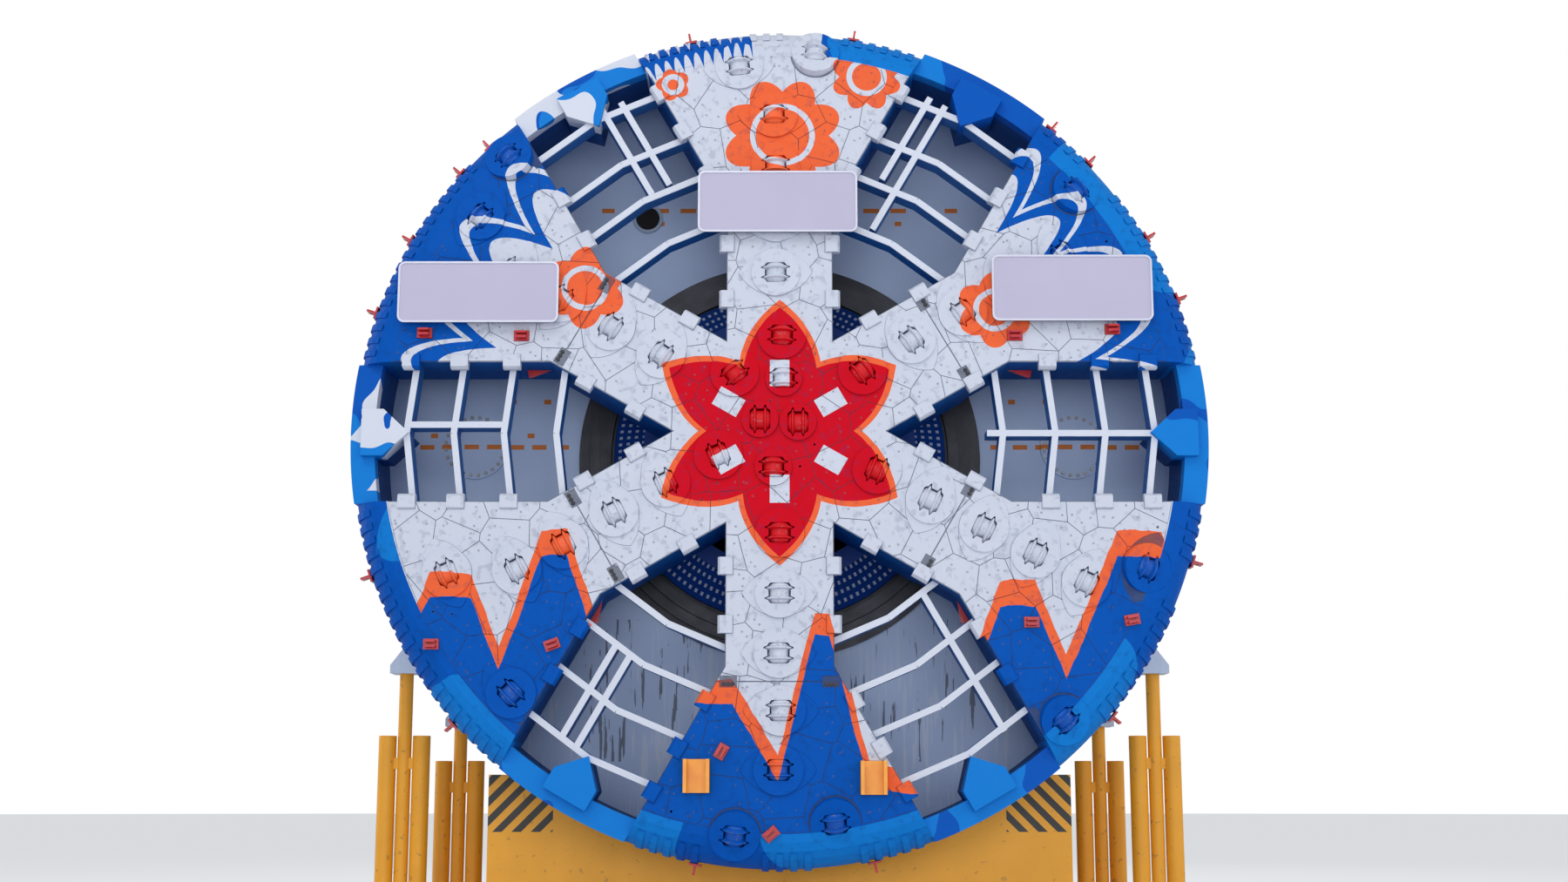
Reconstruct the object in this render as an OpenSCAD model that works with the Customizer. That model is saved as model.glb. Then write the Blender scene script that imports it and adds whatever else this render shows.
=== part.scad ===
// Cutterhead of a 15 m slurry tunnel boring machine, on its front shield and
// its workshop cradle. The machine axis lies along Y, the cutting face looks
// towards -Y, and the floor is z = 0 below the middle of the shield.

/* [Machine] */
// Height of the machine axis above the floor
axis_z = 8750; // [8600:10:9200]
// Distance from the cutting face to the middle of the cradle
face_y = 3450; // [3400:10:3600]
// Play between pieces that are fitted together face to face
seat = 0.3; // [0.2:0.05:0.5]
// Radial play in a turning fit
turn_play = 0.8; // [0.6:0.1:1]

/* [Cutterhead body] */
// Radius that the rim of the head reaches
head_r = 7500; // [7400:10:7600]
// Radius of the rounded shoulder between face and rim
shoulder_r = 620; // [500:10:700]
// Depth of the centre block
centre_depth = 1500; // [1400:10:1600]
// Depth of the six outer blocks
outer_depth = 1300; // [1200:10:1380]
// Thickness of the face plates of the blocks
face_t = 160; // [120:5:200]
// Thickness of the side and back plates of the blocks
plate_t = 110; // [80:5:140]
// Half of a spoke's width
spoke_half_w = 925; // [880:5:980]
// Half of a muck opening's width
opening_half_w = 1230; // [1150:5:1280]

/* [Rim] */
// Radial thickness of the rim ring
rim_t = 450; // [350:10:550]
// How far the rim's wear ribs stand out
rib_h = 35; // [20:1:50]
// Pitch of the wear ribs around the rim
rib_pitch = 240; // [200:5:400]
// Width of a wear rib
rib_w = 120; // [80:5:150]
// Depth of the rim ring's front edge behind the face
rim_front = 250; // [200:10:350]
// Length of a pointed rim tooth, measured inward from the ring
tooth_len = 620; // [500:10:700]
// Width of a pointed rim tooth at the ring
tooth_w = 820; // [600:10:1000]

/* [Disc cutters] */
// Radius of the cutting discs
disc_r = 241.5; // [235:0.5:243]
// Distance from a cutter's middle to each of its two discs
disc_off = 90; // [80:1:95]
// Half of the cutter's length along its shaft
hub_half = 170; // [160:1:175]
// Radius of the fixed shaft that a cutter turns on
shaft_r = 70; // [60:1:80]
// Depth of the cutter's shaft below the face
cutter_sink = 66; // [55:1:80]
// Radius of the round casing around a cutter
casing_r = 393; // [385:1:400]
// Radius of the raised collar on the face
collar_r = 425; // [410:1:440]
// Height of the collar above the face
collar_h = 60; // [40:1:70]
// Half length of the pointed wear pad around a collar, in the rolling direction
pad_half_l = 640; // [560:5:650]
// Half width of the pointed wear pad
pad_half_w = 400; // [380:1:410]
// Thickness of the pointed wear pad
pad_t = 25; // [15:1:40]
// Radius of a collar in the middle of the face
small_collar_r = 320; // [310:1:324]
// Depth of a casing
casing_depth = 700; // [600:10:800]
// Tilt of the cutters on the shoulder
gauge_tilt = 16; // [10:1:18]

/* [Grizzly bars] */
// Width of a bar's front edge
bar_w = 110; // [80:5:140]
// Depth of a bar
bar_d = 380; // [250:10:450]
// Depth of the bars' front edge behind the face
bar_front = 170; // [100:10:250]

/* [Edge tools and lugs] */
// Length of a scraper along the block's edge
scraper_l = 300; // [240:10:340]
// Width of a scraper across the edge
scraper_w = 260; // [200:10:280]
// How far a scraper stands out of the face
scraper_h = 60; // [40:5:80]
// Length of a lifting lug's plate
lug_l = 260; // [200:10:300]
// Width of a lifting lug's foot plate on the face
lug_w = 180; // [150:10:200]
// Thickness of a lifting lug's ear
ear_t = 36; // [25:1:45]
// Distance of a lifting lug's eye from its foot
lug_eye_z = 112; // [100:1:120]
// Radius of a lifting lug's eye
lug_eye_r = 34; // [25:1:38]
// How far a turning bracket stands out of the face
bracket_h = 250; // [210:10:300]

/* [Drive drum] */
// Radius of the drum at the back of the head
drum_front_r = 2350; // [2200:10:2500]
// How far the drum's rear end stands out past its spigot
drum_step = 160; // [100:5:190]
// Depth of the drum's rear end behind the face
drum_rear = 2380; // [2300:10:2450]
// Thickness of the drum's wall
drum_wall = 200; // [150:10:260]
// Radius of the drum's turning spigot
spigot_r = 2900; // [2850:10:2940]

/* [Front shield] */
// How much wider the head cuts than the shield, on the radius
overcut = 70; // [50:5:120]
// Thickness of the shield's skin
shield_wall = 90; // [70:5:120]
// Depth of the shield's front edge behind the face
shield_front = 1560; // [1550:5:1650]
// Depth of the shield's rear end behind the face
shield_rear = 5500; // [5300:10:5800]
// Depth of the bulkhead's front behind the face
bulkhead_front = 2620; // [2600:10:2700]
// Thickness of the bulkhead
bulkhead_t = 120; // [80:5:160]
// Depth of the bulkhead's stiffening ribs
bulkhead_rib = 900; // [600:10:1100]
// Number of stiffening ribs behind the bulkhead
bulkhead_ribs = 12; // [8:1:16]
// Width of the shield's rear bolting flange
flange_w = 300; // [250:10:350]
// Thickness of the shield's rear bolting flange
flange_t = 140; // [100:5:180]
// Number of bolt holes in the rear flange
flange_bolts = 60; // [40:2:72]
// Radius of a bolt hole in the rear flange
flange_hole_r = 26; // [20:1:30]

/* [Main drive] */
// Wall of the bearing housing around the spigot
housing_wall = 840; // [800:10:900]
// Distance from the spigot to the inside of the stepped seal ring
seal_space = 230; // [210:5:260]
// Depth of the housing's rear face behind the face of the head
housing_rear = 4100; // [4000:10:4200]
// Number of drive motors
motors = 14; // [10:1:16]
// Radius of a drive motor's gearbox
gearbox_r = 270; // [240:5:300]
// Length of a drive motor's gearbox
gearbox_l = 520; // [450:10:600]
// Radius of a drive motor
motor_r = 220; // [200:5:250]
// Length of a drive motor
motor_l = 560; // [450:10:600]

/* [Slurry pipes] */
// Outer radius of the slurry pipes
pipe_r = 260; // [220:5:300]
// Wall of the slurry pipes
pipe_wall = 16; // [10:1:25]
// Height of the feed pipe above the machine axis
feed_z = 4700; // [4600:10:5000]
// Depth of the discharge pipe below the machine axis
discharge_z = 5500; // [5300:10:5700]

/* [Cradle] */
// Thickness of a saddle along the machine
saddle_t = 420; // [300:10:500]
// Distance of the front and rear saddles from the middle one
saddle_pitch = 1500; // [1300:10:1500]
// Half of the saddle's width at the floor
saddle_half_w = 5150; // [4800:10:5300]
// Height of the saddle's cheeks
cheek_z = 2900; // [2600:10:3100]
// Thickness of the floor plate
floor_t = 120; // [80:10:200]

/* [Side jacks] */
// Radius of a jack's cylinder
jack_r = 160; // [140:5:170]
// Radius of the post between two cylinders
post_r = 125; // [100:5:140]
// Distance of a post from the middle of each of its cylinders
jack_gap = 310; // [300:5:360]

/* [Hidden] */
$fa = 4;
$fs = 20;
// Overlap that makes two fused shapes one solid
fuse = 20;
// Reach of a cutting shape past what it cuts
past = 400;
// Middle of the cutter's slot: half width along the shaft and half length
slot_half_x = hub_half + 40;
slot_half_y = disc_r + 20;
// Thickness of the collar plate that the discs look through
cover_t = 40;
// Clearance between the discs and the collar plate
cover_gap = 14;
// Gap between a cutter's hub and the shoulders of its shaft
hub_gap = 8;
// Radius at which the flat face turns into the shoulder
flat_r = head_r - shoulder_r;
// Inner radius of the rim ring
rim_inner_r = head_r - rim_t;
// Distance of the middle box's six sides from the axis
middle_r = spoke_half_w / tan(30);
// Outer radius of the shield
shield_r = head_r - overcut;
// Radius of the drum at its rear end
drum_rear_r = spigot_r + drum_step;
// Inner radius of the seal ring and outer radius of the bearing housing
seal_inner_r = spigot_r + seal_space;
housing_r = spigot_r + housing_wall;
// Radius of the head that the tables below are drawn for. What lies outside the joint
// lines keeps its distance from the rim when the head's radius changes.
drawn_r = 7500;
rim_shift = head_r - drawn_r;
// Radius of the head's body under the wear ribs
body_r = head_r - rib_h;

// Spokes: angle, radius of the joint line, cutters as [along, across]
SPOKES = [
  [30, 3290, [[1770, 200], [2790, 250], [3820, 230], [4780, 260], [5880, 250], [6690, 1140]]],
  [90, 4300, [[1700, -40], [2830, 70], [3810, 70], [4790, 70], [5740, 100], [6640, 720],
              [6900, -640]]],
  [150, 3930, [[1190, -500], [2460, -140], [3470, -130], [4480, -130], [5480, -130],
               [6480, -700], [6630, -1900]]],
  [210, 3660, [[1130, -160], [2150, -190], [3170, -180], [4190, -130], [5080, -150],
               [6150, -690], [6180, 1650]]],
  [270, 4320, [[1780, 0], [2820, 0], [3840, -20], [4810, 20], [5800, -20], [6880, -750],
               [6680, 930]]],
  [330, 3330, [[1790, 240], [2840, 250], [3870, 280], [4850, 330], [5840, 330],
               [6620, 1070], [6640, -1900]]]
];
// Middle cutters: x, z on the face, direction of the shaft
CENTRE_CUTTERS = [[70, 930, 90], [-340, 200, 0], [315, 150, 0], [-110, -640, 90]];
// All cutters: name, angle, radius, direction of the shaft, 1 in the middle of the face
CUTTERS = concat(
  [for (s = SPOKES) for (i = [0:len(s[2]) - 1])
    let (p = s[2][i] + [s[2][i][0] > s[1] ? rim_shift : 0, 0], turn = atan2(p[1], p[0]))
    [str("cutter_", s[0], "_", i + 1), s[0] + turn, norm(p), s[0] + turn, 0]],
  [for (i = [0:len(CENTRE_CUTTERS) - 1])
    let (c = CENTRE_CUTTERS[i])
    [str("cutter_mid_", i + 1), atan2(c[1], c[0]), norm([c[0], c[1]]), c[2], 1]]
);
// Cutters past this radius sit tilted on the shoulder, and this much deeper
gauge_lap = 180;
gauge_from = flat_r - gauge_lap;
gauge_sink = 15;
// Depth of the skirt below a tilted collar
skirt = 150;
// Step between the collar and the casing of a cutter in the middle
mid_step = 30;
// Clearance of a cutter in its pocket, and the wall left beside the pocket
pocket_gap = 30;
pocket_wall = 20;
// How much thicker the shaft's shoulders are
shoulder_step = 35;

// Muck openings: angle, distances of the cross bars, long bars as [across, from, to]
OPENINGS = [
  [0, [3880, 4790, 5660, 6520], [[0, 3600, 6700]]],
  [60, [3950, 4860, 5660, 6560], [[730, 4900, 6660], [420, 4010, 6660]]],
  [120, [3950, 4850, 5630, 6580], [[-200, 4880, 6720], [-560, 4880, 6660]]],
  [180, [3880, 4790, 5660, 6480], [[-150, 4740, 6480]]],
  [240, [3830, 4640, 5530, 6460], [[-570, 4620, 6400], [-270, 4650, 6440]]],
  [300, [3720, 4650, 5450, 6380], [[720, 3640, 6360]]]
];
// True where a cutter's middle lies closer than d to the point at angle a and radius r
function near_cutter(a, r, d) =
  len([for (c = CUTTERS)
    if (norm([c[2] * cos(c[1]) - r * cos(a), c[2] * sin(c[1]) - r * sin(a)]) < d) 1]) > 0;

// True at an angle where the shoulder has room for wear ribs beside the cutters
function ribs_at(a) = !near_cutter(a, flat_r + shoulder_r / 2, collar_r + rib_w);

// Middle angles of the wear ribs on the outer block of a spoke
function rib_angles(s) =
  let (half = 30 - asin((opening_half_w + rib_w) / flat_r),
       count = floor(2 * half * head_r * PI / 180 / rib_pitch))
  [for (i = [0:count]) let (a = s[0] - half + i * 2 * half / count) if (ribs_at(a)) a];

// True where a wear rib lies under the foot of a rim lug at angle a
function rib_under(a) =
  len([for (s = SPOKES) for (r = rib_angles(s))
    if (abs(r - a) * PI / 180 * head_r < (rim_foot + rib_w) / 2) 1]) > 0;

// How far a cross bar's ends are turned inward, in degrees
bar_bend = 7;

// Scrapers on the spokes' edges: distance along the spoke
SPOKE_SCRAPERS = [2350, 3350];
// Scrapers on the openings' long sides: distance along the opening
PANEL_SCRAPERS = [4650, 5560, 6400];
// Lifting lugs on the face: angle, radius, turn of the plate
FACE_LUGS = [[212, 6960, 0], [223.8, 5340, 20], [322.2, 5410, 0], [331.3, 6820, 10],
             [259.9, 5580, 60], [268.8, 6860, 40], [164.3, 6420, 0], [159.4, 4800, 0],
             [22.5, 4430, 0], [17.3, 6070, 0]];
// Lifting lugs on the rim: angle
RIM_LUGS = [19.6, 29.1, 42.3, 49.2, 79.7, 102.4, 134.4, 139.8, 151.4, 162.5, 199, 221.8,
            259, 282.4, 319.5, 343];
// Red gussets on the openings' side walls: angle of the opening, side, distance along it
GUSSETS = [[0, 1, 4260], [180, -1, 4260], [240, -1, 4240], [300, 1, 4240]];
// Depth of the gussets behind the face, their length along the wall and their width
gusset_depth = 640;
wall_gusset_l = 420;
wall_gusset_w = 135;
// Yellow turning brackets on the face: x, z
BRACKETS = [[-1390, -5900], [1570, -5930]];
// Lifting lugs: thickness of the foot on the face and height of the ears
lug_foot = 40;
ear_h = 150;
// Rim lugs: width of the foot and height of the ear
rim_foot = 220;
rim_ear_h = 175;
// Turning brackets: width, length and thickness of the plate
bracket_w = 440;
bracket_l = 560;
bracket_t = 60;
// Jacks on each side: distance of the post from the skin at its top, height of the
// cylinders, height of the post, place along the machine
JACKS = [[610, 3620, 4750, -700], [545, 3200, 3850, 900]];
function jack_x(j) = j[0] + sqrt(pow(shield_r, 2) - pow(axis_z - j[2], 2));

// The face frame: x to the right, y up, z out of the face, its origin on the axis
module face_frame() translate([0, -face_y, axis_z]) rotate([90, 0, 0]) children();

// The frame of one cutter in the face frame: x along its shaft, z out of the face
module cutter_frame(c) {
  tilt = c[2] > gauge_from ? gauge_tilt : 0;
  drop = tilt == 0 ? 0 : gauge_sink + max(0, c[2] - flat_r) * tan(gauge_tilt);
  rotate(c[1]) translate([c[2], 0, -drop]) rotate(c[3] - c[1])
    rotate([0, tilt, 0]) children();
}

// Outline of one muck opening, drawn along +x, made smaller by inset
module opening_outline(inset) {
  w = opening_half_w - inset;
  s = spoke_half_w + inset;
  // The sides of the two spokes beside the opening meet on its centreline
  tip = s / sin(30);
  polygon([[tip, 0], [tip + w / tan(30), w], [head_r + past, w],
           [head_r + past, -w], [tip + w / tan(30), -w]]);
}

// Outline of the head without its muck openings, made smaller by inset
module head_outline(inset = 0)
  difference() {
    circle(r = head_r + past, $fn = 60);
    for (o = OPENINGS) rotate(o[0]) opening_outline(-inset);
  }

// The part of the face plane that lies outside a spoke's joint line by a gap
module beyond_joint(s, gap)
  rotate(s[0]) translate([s[1] + gap, -head_r]) square([head_r, 2 * head_r]);

// Body of revolution of the head, from its face down to a depth
module head_round(r, depth)
  rotate_extrude($fn = 180) {
    square_to = r - shoulder_r;
    polygon(concat(
      [[0, -depth], [0, 0]],
      [for (a = [90:-15:0]) [square_to + shoulder_r * cos(a), -shoulder_r + shoulder_r * sin(a)]],
      [[r, -depth]]));
  }

// Half of the angle that an outer block may take up
sector_half = 29.9;

module sector(a, half, r) rotate(a) polygon([[0, 0], [r, -r * tan(half)], [r, r * tan(half)]]);

module cutter_pockets(list)
  for (c = list) {
    r = c[4] == 1 ? small_collar_r : casing_r;
    cutter_frame(c) {
      translate([0, 0, -casing_depth - seat])
        cylinder(r = (c[4] == 1 ? r - mid_step : r) + seat, h = casing_depth + past, $fn = 48);
      if (c[2] > gauge_from)
        translate([0, 0, -skirt]) cylinder(r = collar_r + seat, h = past, $fn = 48);
    }
  }

// A cutter belongs to the centre block where it lies inside its spoke's joint line
function joint_at(a) = [for (s = SPOKES) if (abs((a - s[0] + 540) % 360 - 180) <= 30) s[1]][0];
function in_centre(c) =
  c[4] == 1 || c[2] * cos(min([for (s = SPOKES) abs((c[1] - s[0] + 540) % 360 - 180)]))
    < joint_at(c[1]);

module centre_block()
  color([0.80, 0.83, 0.89])
  face_frame() difference() {
    translate([0, 0, -centre_depth]) linear_extrude(centre_depth) centre_outline(0);
    // The welded box is hollow between its plates
    translate([0, 0, -centre_depth + plate_t])
      linear_extrude(centre_depth - face_t - plate_t) centre_outline(plate_t);
    cutter_pockets([for (c = CUTTERS) if (in_centre(c)) c]);
  }

// A six-sided middle box with a spoke box seated on each of its sides
module centre_outline(inset) {
  circle(r = (middle_r - inset) / cos(30), $fn = 6);
  for (s = SPOKES)
    difference() {
      intersection() {
        head_outline(inset);
        sector(s[0], 30, head_r);
        rotate(s[0]) translate([middle_r + seat + inset, -head_r]) square([head_r, 2 * head_r]);
      }
      beyond_joint(s, -seat / 2 - inset);
    }
}

module outer_blocks()
  color([0.10, 0.36, 0.72])
  face_frame() difference() {
    union() {
      difference() {
        outer_solid(0, body_r, 0, outer_depth);
        outer_solid(plate_t, body_r - plate_t, face_t, outer_depth - plate_t);
      }
      wear_ribs();
    }
    cutter_pockets([for (c = CUTTERS) if (!in_centre(c)) c]);
  }

// The six outer blocks between two depths, made smaller by inset
module outer_solid(inset, r, from, to)
  intersection() {
    translate([0, 0, -from]) head_round(r, to - from);
    translate([0, 0, -to - past]) linear_extrude(to + 2 * past)
      for (s = SPOKES)
        intersection() {
          head_outline(inset);
          beyond_joint(s, seat / 2 + inset);
          sector(s[0], sector_half, head_r + past);
        }
  }

// Hardfaced ribs on the shoulder, as short turned segments that run down to the rim
module wear_ribs() {
  rib_a = asin(rib_w / head_r);
  for (s = SPOKES)
    for (a = rib_angles(s))
      rotate(a - rib_a / 2) rotate_extrude(angle = rib_a, $fn = 180) rib_profile();
}

// The rib's foot lies inside the block's plate, and its ends stay clear of the plate's edges
module rib_profile() {
  foot = 3 * rib_h;
  polygon(concat(
    [for (a = [60:-15:0]) [flat_r + shoulder_r * cos(a), -shoulder_r + shoulder_r * sin(a)]],
    [[head_r, -outer_depth + rib_h], [head_r - foot, -outer_depth + foot]],
    [for (a = [0:15:45])
      [flat_r - foot + shoulder_r * cos(a), -shoulder_r + shoulder_r * sin(a)]]));
}

module rim_ring()
  color([0.08, 0.40, 0.75])
  face_frame() {
    // The closed ring behind the outer blocks
    translate([0, 0, -centre_depth]) ring(body_r, rim_inner_r, centre_depth - outer_depth - seat);
    // Its raised lengths in the six openings
    for (o = OPENINGS) {
      translate([0, 0, -centre_depth]) intersection() {
        ring(body_r, rim_inner_r, centre_depth - rim_front);
        linear_extrude(centre_depth) rotate(o[0]) opening_outline(seat);
      }
      rotate(o[0]) rim_tooth();
    }
  }

module ring(outer, inner, h) difference() {
  cylinder(r = outer, h = h, $fn = 180);
  translate([0, 0, -past]) cylinder(r = inner, h = h + 2 * past, $fn = 180);
}

// A pointed tooth on the rim
module rim_tooth()
  translate([0, 0, -centre_depth + past]) linear_extrude(centre_depth - past - tooth_front)
    tooth_outline(0);
// Depth of a rim tooth's front behind the face
tooth_front = 80;
// Length of the straight flanks at the root of a rim tooth
tooth_flank = 180;

module tooth_outline(grow) {
  tip = rim_inner_r - tooth_len - 3 * grow;
  w = tooth_w / 2 + grow;
  root = rim_inner_r + rim_lap;
  flank = rim_inner_r - tooth_flank;
  polygon([[tip, 0], [flank, w], [root, w], [root, -w], [flank, -w]]);
}
// How far a rim tooth reaches into the ring
rim_lap = 200;

module grizzly_bars()
  color([0.85, 0.88, 0.93])
  face_frame() translate([0, 0, -bar_front - bar_d]) linear_extrude(bar_d)
    for (o = OPENINGS)
      rotate(o[0]) {
        // Cross bars, each in two straight halves, cut where a long bar crosses
        difference() {
          intersection() {
            opening_outline(seat);
            for (x = o[1]) for (side = [-1, 1])
              translate([x + rim_shift, side * seat / 2]) rotate(side * bar_bend)
                translate([-bar_w / 2, side > 0 ? 0 : -opening_half_w - past])
                  square([bar_w, opening_half_w + past]);
          }
          for (b = o[2])
            translate([b[1] + rim_shift - seat, b[0] - bar_w / 2 - seat])
              square([b[2] - b[1] + 2 * seat, bar_w + 2 * seat]);
          translate([0, -seat / 2]) square([head_r, seat]);
          tooth_outline(seat);
        }
        difference() {
          for (b = o[2])
            translate([b[1] + rim_shift, b[0] - bar_w / 2]) square([b[2] - b[1], bar_w]);
          tooth_outline(seat);
        }
      }

// Half outline of a cutter: distance along the shaft, radius
function cutter_half(grow) = [
  [hub_half, hub_end_r + grow], [hub_half - hub_chamfer, hub_r + grow],
  [disc_off + disc_foot, hub_r + grow], [disc_off + disc_tip, disc_r + grow],
  [disc_off - disc_tip, disc_r + grow], [disc_off - disc_foot, hub_r + grow]
];
// Radius of the hub that carries the two discs, and of its chamfered ends
hub_r = 0.72 * disc_r;
hub_end_r = 0.58 * disc_r;
hub_chamfer = 30;
// Half width of a disc at its foot and at its cutting edge
disc_foot = 35;
disc_tip = 10;
function mirrored(list) = [for (i = [len(list) - 1:-1:0]) [-list[i][0], list[i][1]]];

module disc_cutter(c)
  color([0.55, 0.58, 0.64])
  face_frame() cutter_frame(c) translate([0, 0, -cutter_sink]) rotate([0, 90, 0])
    rotate_extrude($fn = 64) rotate(90) mirror([0, 1])
      polygon(concat(
        [[hub_half, shaft_r + turn_play]], cutter_half(0), mirrored(cutter_half(0)),
        [[-hub_half, shaft_r + turn_play]]));

module cutter_casings()
  color([0.80, 0.83, 0.89])
  face_frame()
    for (c = CUTTERS) cutter_casing(c);

module cutter_casing(c) {
  mid = c[4] == 1;
  gauge = c[2] > gauge_from;
  out_r = mid ? small_collar_r : collar_r;
  in_r = mid ? small_collar_r - mid_step : casing_r;
  foot = gauge ? seat - skirt : seat;
  pocket_y = min(slot_half_y, in_r - pocket_wall);
  pocket_z = cutter_sink + disc_r + pocket_gap;
  pad = !mid && !gauge && c[2] > pads_from;
  // The cutter's outline grown by a clearance, a little more at the hub's ends
  opening_half = [for (p = cutter_half(cover_gap)) p + [p[0] == hub_half ? hub_gap : 0, 0]];
  cutter_frame(c) {
    difference() {
      union() {
        if (pad) wear_pad(c);
        translate([0, 0, -casing_depth]) cylinder(r = in_r, h = casing_depth + collar_h, $fn = 48);
        translate([0, 0, foot]) cylinder(r = out_r, h = collar_h - foot, $fn = 48);
      }
      // The pocket that the cutter turns in
      translate([-slot_half_x, -pocket_y, -pocket_z])
        cube([2 * slot_half_x, 2 * pocket_y, pocket_z - cover_t]);
      // The opening in its cover follows the two discs
      translate([0, 0, -cover_t - fuse / 2]) linear_extrude(cover_t + collar_h + past)
        polygon(concat(opening_half, mirrored(opening_half),
          [for (p = opening_half) -p], [for (p = mirrored(opening_half)) -p]));
    }
    // The fixed shaft and its two shoulders
    translate([-slot_half_x - fuse, 0, -cutter_sink]) rotate([0, 90, 0])
      cylinder(r = shaft_r, h = 2 * slot_half_x + 2 * fuse, $fn = 48);
    for (side = [0, 180])
      rotate(side) translate([hub_half + hub_gap, 0, -cutter_sink]) rotate([0, 90, 0])
        cylinder(r = shaft_r + shoulder_step, h = slot_half_x - hub_half - hub_gap + fuse,
                 $fn = 48);
  }
}

// A pointed pad on the face around a collar, kept clear of the block's edges
module wear_pad(c) {
  // The two arcs of the outline meet at its tips
  arc_r = (pad_half_l * pad_half_l + pad_half_w * pad_half_w) / (2 * pad_half_w);
  translate([0, 0, seat]) linear_extrude(pad_t - seat)
    intersection() {
      translate([pad_half_w - arc_r, 0]) circle(r = arc_r, $fn = 180);
      translate([arc_r - pad_half_w, 0]) circle(r = arc_r, $fn = 180);
      rotate(-c[3]) translate(-c[2] * [cos(c[1]), sin(c[1])])
        intersection() {
          head_outline(pad_edge);
          circle(r = flat_r - pad_edge, $fn = 180);
        }
    }
}
// Distance that a wear pad keeps from the block's edges
pad_edge = 30;
// Cutters nearer to the axis than this have no wear pad
pads_from = 2000;

module edge_scrapers()
  color([0.85, 0.88, 0.93])
  face_frame() {
    for (s = SPOKES) for (side = [-1, 1]) for (u = SPOKE_SCRAPERS)
      rotate(s[0]) translate([u, side * (spoke_half_w + seat), 0]) scraper(side);
    for (o = OPENINGS) for (side = [-1, 1]) for (u = PANEL_SCRAPERS + rim_shift * [1, 1, 1])
      if (!near_cutter(o[0] + side * atan2(opening_half_w, u), norm([u, opening_half_w]),
                       collar_r + scraper_l))
        rotate(o[0]) translate([u, side * (opening_half_w - seat), 0]) scraper(-side);
  }

// A scraper block that laps over an edge: side gives the way off the block
module scraper(side) {
  lap = scraper_w / 2;
  translate([-scraper_l / 2, 0, 0]) mirror([0, side > 0 ? 0 : 1, 0]) rotate([90, 0, 90])
    linear_extrude(scraper_l)
      polygon([[-lap, seat], [-lap, scraper_h - scraper_bevel], [-lap + scraper_bevel, scraper_h],
               [lap - 2 * scraper_bevel, scraper_h], [lap, scraper_h - 3 * scraper_bevel],
               [lap, -scraper_lip], [0, -scraper_lip - 2 * scraper_bevel], [0, seat]]);
}
// Bevel at a scraper's heel, and how far its lip hangs over the edge
scraper_bevel = 20;
scraper_lip = 100;

module lifting_lugs()
  color([0.78, 0.06, 0.10])
  face_frame() {
    for (l = FACE_LUGS)
      rotate(l[0]) translate([l[1] + rim_shift, 0, seat]) rotate(l[2] - l[0]) face_lug();
    // Where there is no wear rib under it, a rim lug stands on the plain rim
    for (a = RIM_LUGS)
      rotate(a) translate([(rib_under(a) ? head_r : body_r) + seat, 0, -outer_depth / 2]) rim_lug();
    for (g = GUSSETS)
      rotate(g[0]) translate([g[2] + rim_shift, g[1] * (opening_half_w - seat), -gusset_depth])
        mirror([0, g[1] > 0 ? 1 : 0, 0]) wall_gusset();
  }

// A three-cornered plate that stands out of an opening's side wall
module wall_gusset()
  translate([-wall_gusset_l / 2, 0, -ear_t / 2]) linear_extrude(ear_t)
    polygon([[0, 0], [wall_gusset_l, 0], [wall_gusset_l - ear_t, wall_gusset_w],
             [wall_gusset_l - 2 * ear_t, wall_gusset_w]]);

// Two ears with a hole, on a foot plate
module face_lug()
  difference() {
    union() {
      translate([-lug_l / 2, -lug_w / 2, 0]) cube([lug_l, lug_w, lug_foot]);
      for (y = [-lug_w / 3, lug_w / 3 - ear_t])
        translate([-lug_w / 2, y, fuse]) cube([lug_w, ear_t, ear_h]);
    }
    translate([0, -past / 2, lug_eye_z]) rotate([-90, 0, 0])
      cylinder(r = lug_eye_r, h = past, $fn = 24);
  }

// One ear that stands across a foot plate
module rim_lug()
  difference() {
    union() {
      translate([0, -rim_foot / 2, -lug_l / 2]) cube([ear_t, rim_foot, lug_l]);
      translate([ear_t / 2, -ear_t / 2, -rim_foot / 2]) cube([rim_ear_h, ear_t, rim_foot]);
    }
    translate([lug_eye_z, -past / 2, 0]) rotate([-90, 0, 0])
      cylinder(r = lug_eye_r, h = past, $fn = 24);
  }

module turning_brackets()
  color([0.96, 0.62, 0.05])
  face_frame()
    for (b = BRACKETS)
      translate([b[0], b[1] - rim_shift, seat]) difference() {
        translate([-bracket_w / 2, -bracket_l / 2, 0]) cube([bracket_w, bracket_l, bracket_h]);
        translate([-bracket_w / 2 + bracket_t, -past, bracket_t])
          cube([bracket_w - 2 * bracket_t, 2 * past, past]);
      }

module drive_drum()
  color([0.05, 0.28, 0.60])
  face_frame() rotate_extrude($fn = 120) {
    // The flange on the head, and the cone with the spigot that is seated on it
    translate([drum_front_r - drum_wall, -drum_seam])
      square([drum_wall + drum_rim, drum_rim - seat]);
    polygon([[drum_front_r - drum_wall, -drum_seam - seat], [drum_front_r, -drum_seam - seat],
             [drum_rear_r, -drum_rear + 1.5 * drum_rim], [drum_rear_r, -drum_rear],
             [spigot_r, -drum_rear], [spigot_r, -spigot_end],
             [spigot_r - drum_wall, -spigot_end], [spigot_r - drum_wall, -drum_rear + drum_rim]]);
  }
// Width and thickness of the drum's front flange, and the depth of its rear side
drum_rim = 110;
drum_seam = centre_depth + drum_rim;
// Distance of the spigot's end from the housing's rear, and its depth behind the face
spigot_stop = 300;
spigot_end = housing_rear - spigot_stop;

module shield_shell()
  color([0.72, 0.76, 0.82]) {
    shell_skin();
    jack_brackets();
  }

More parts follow.
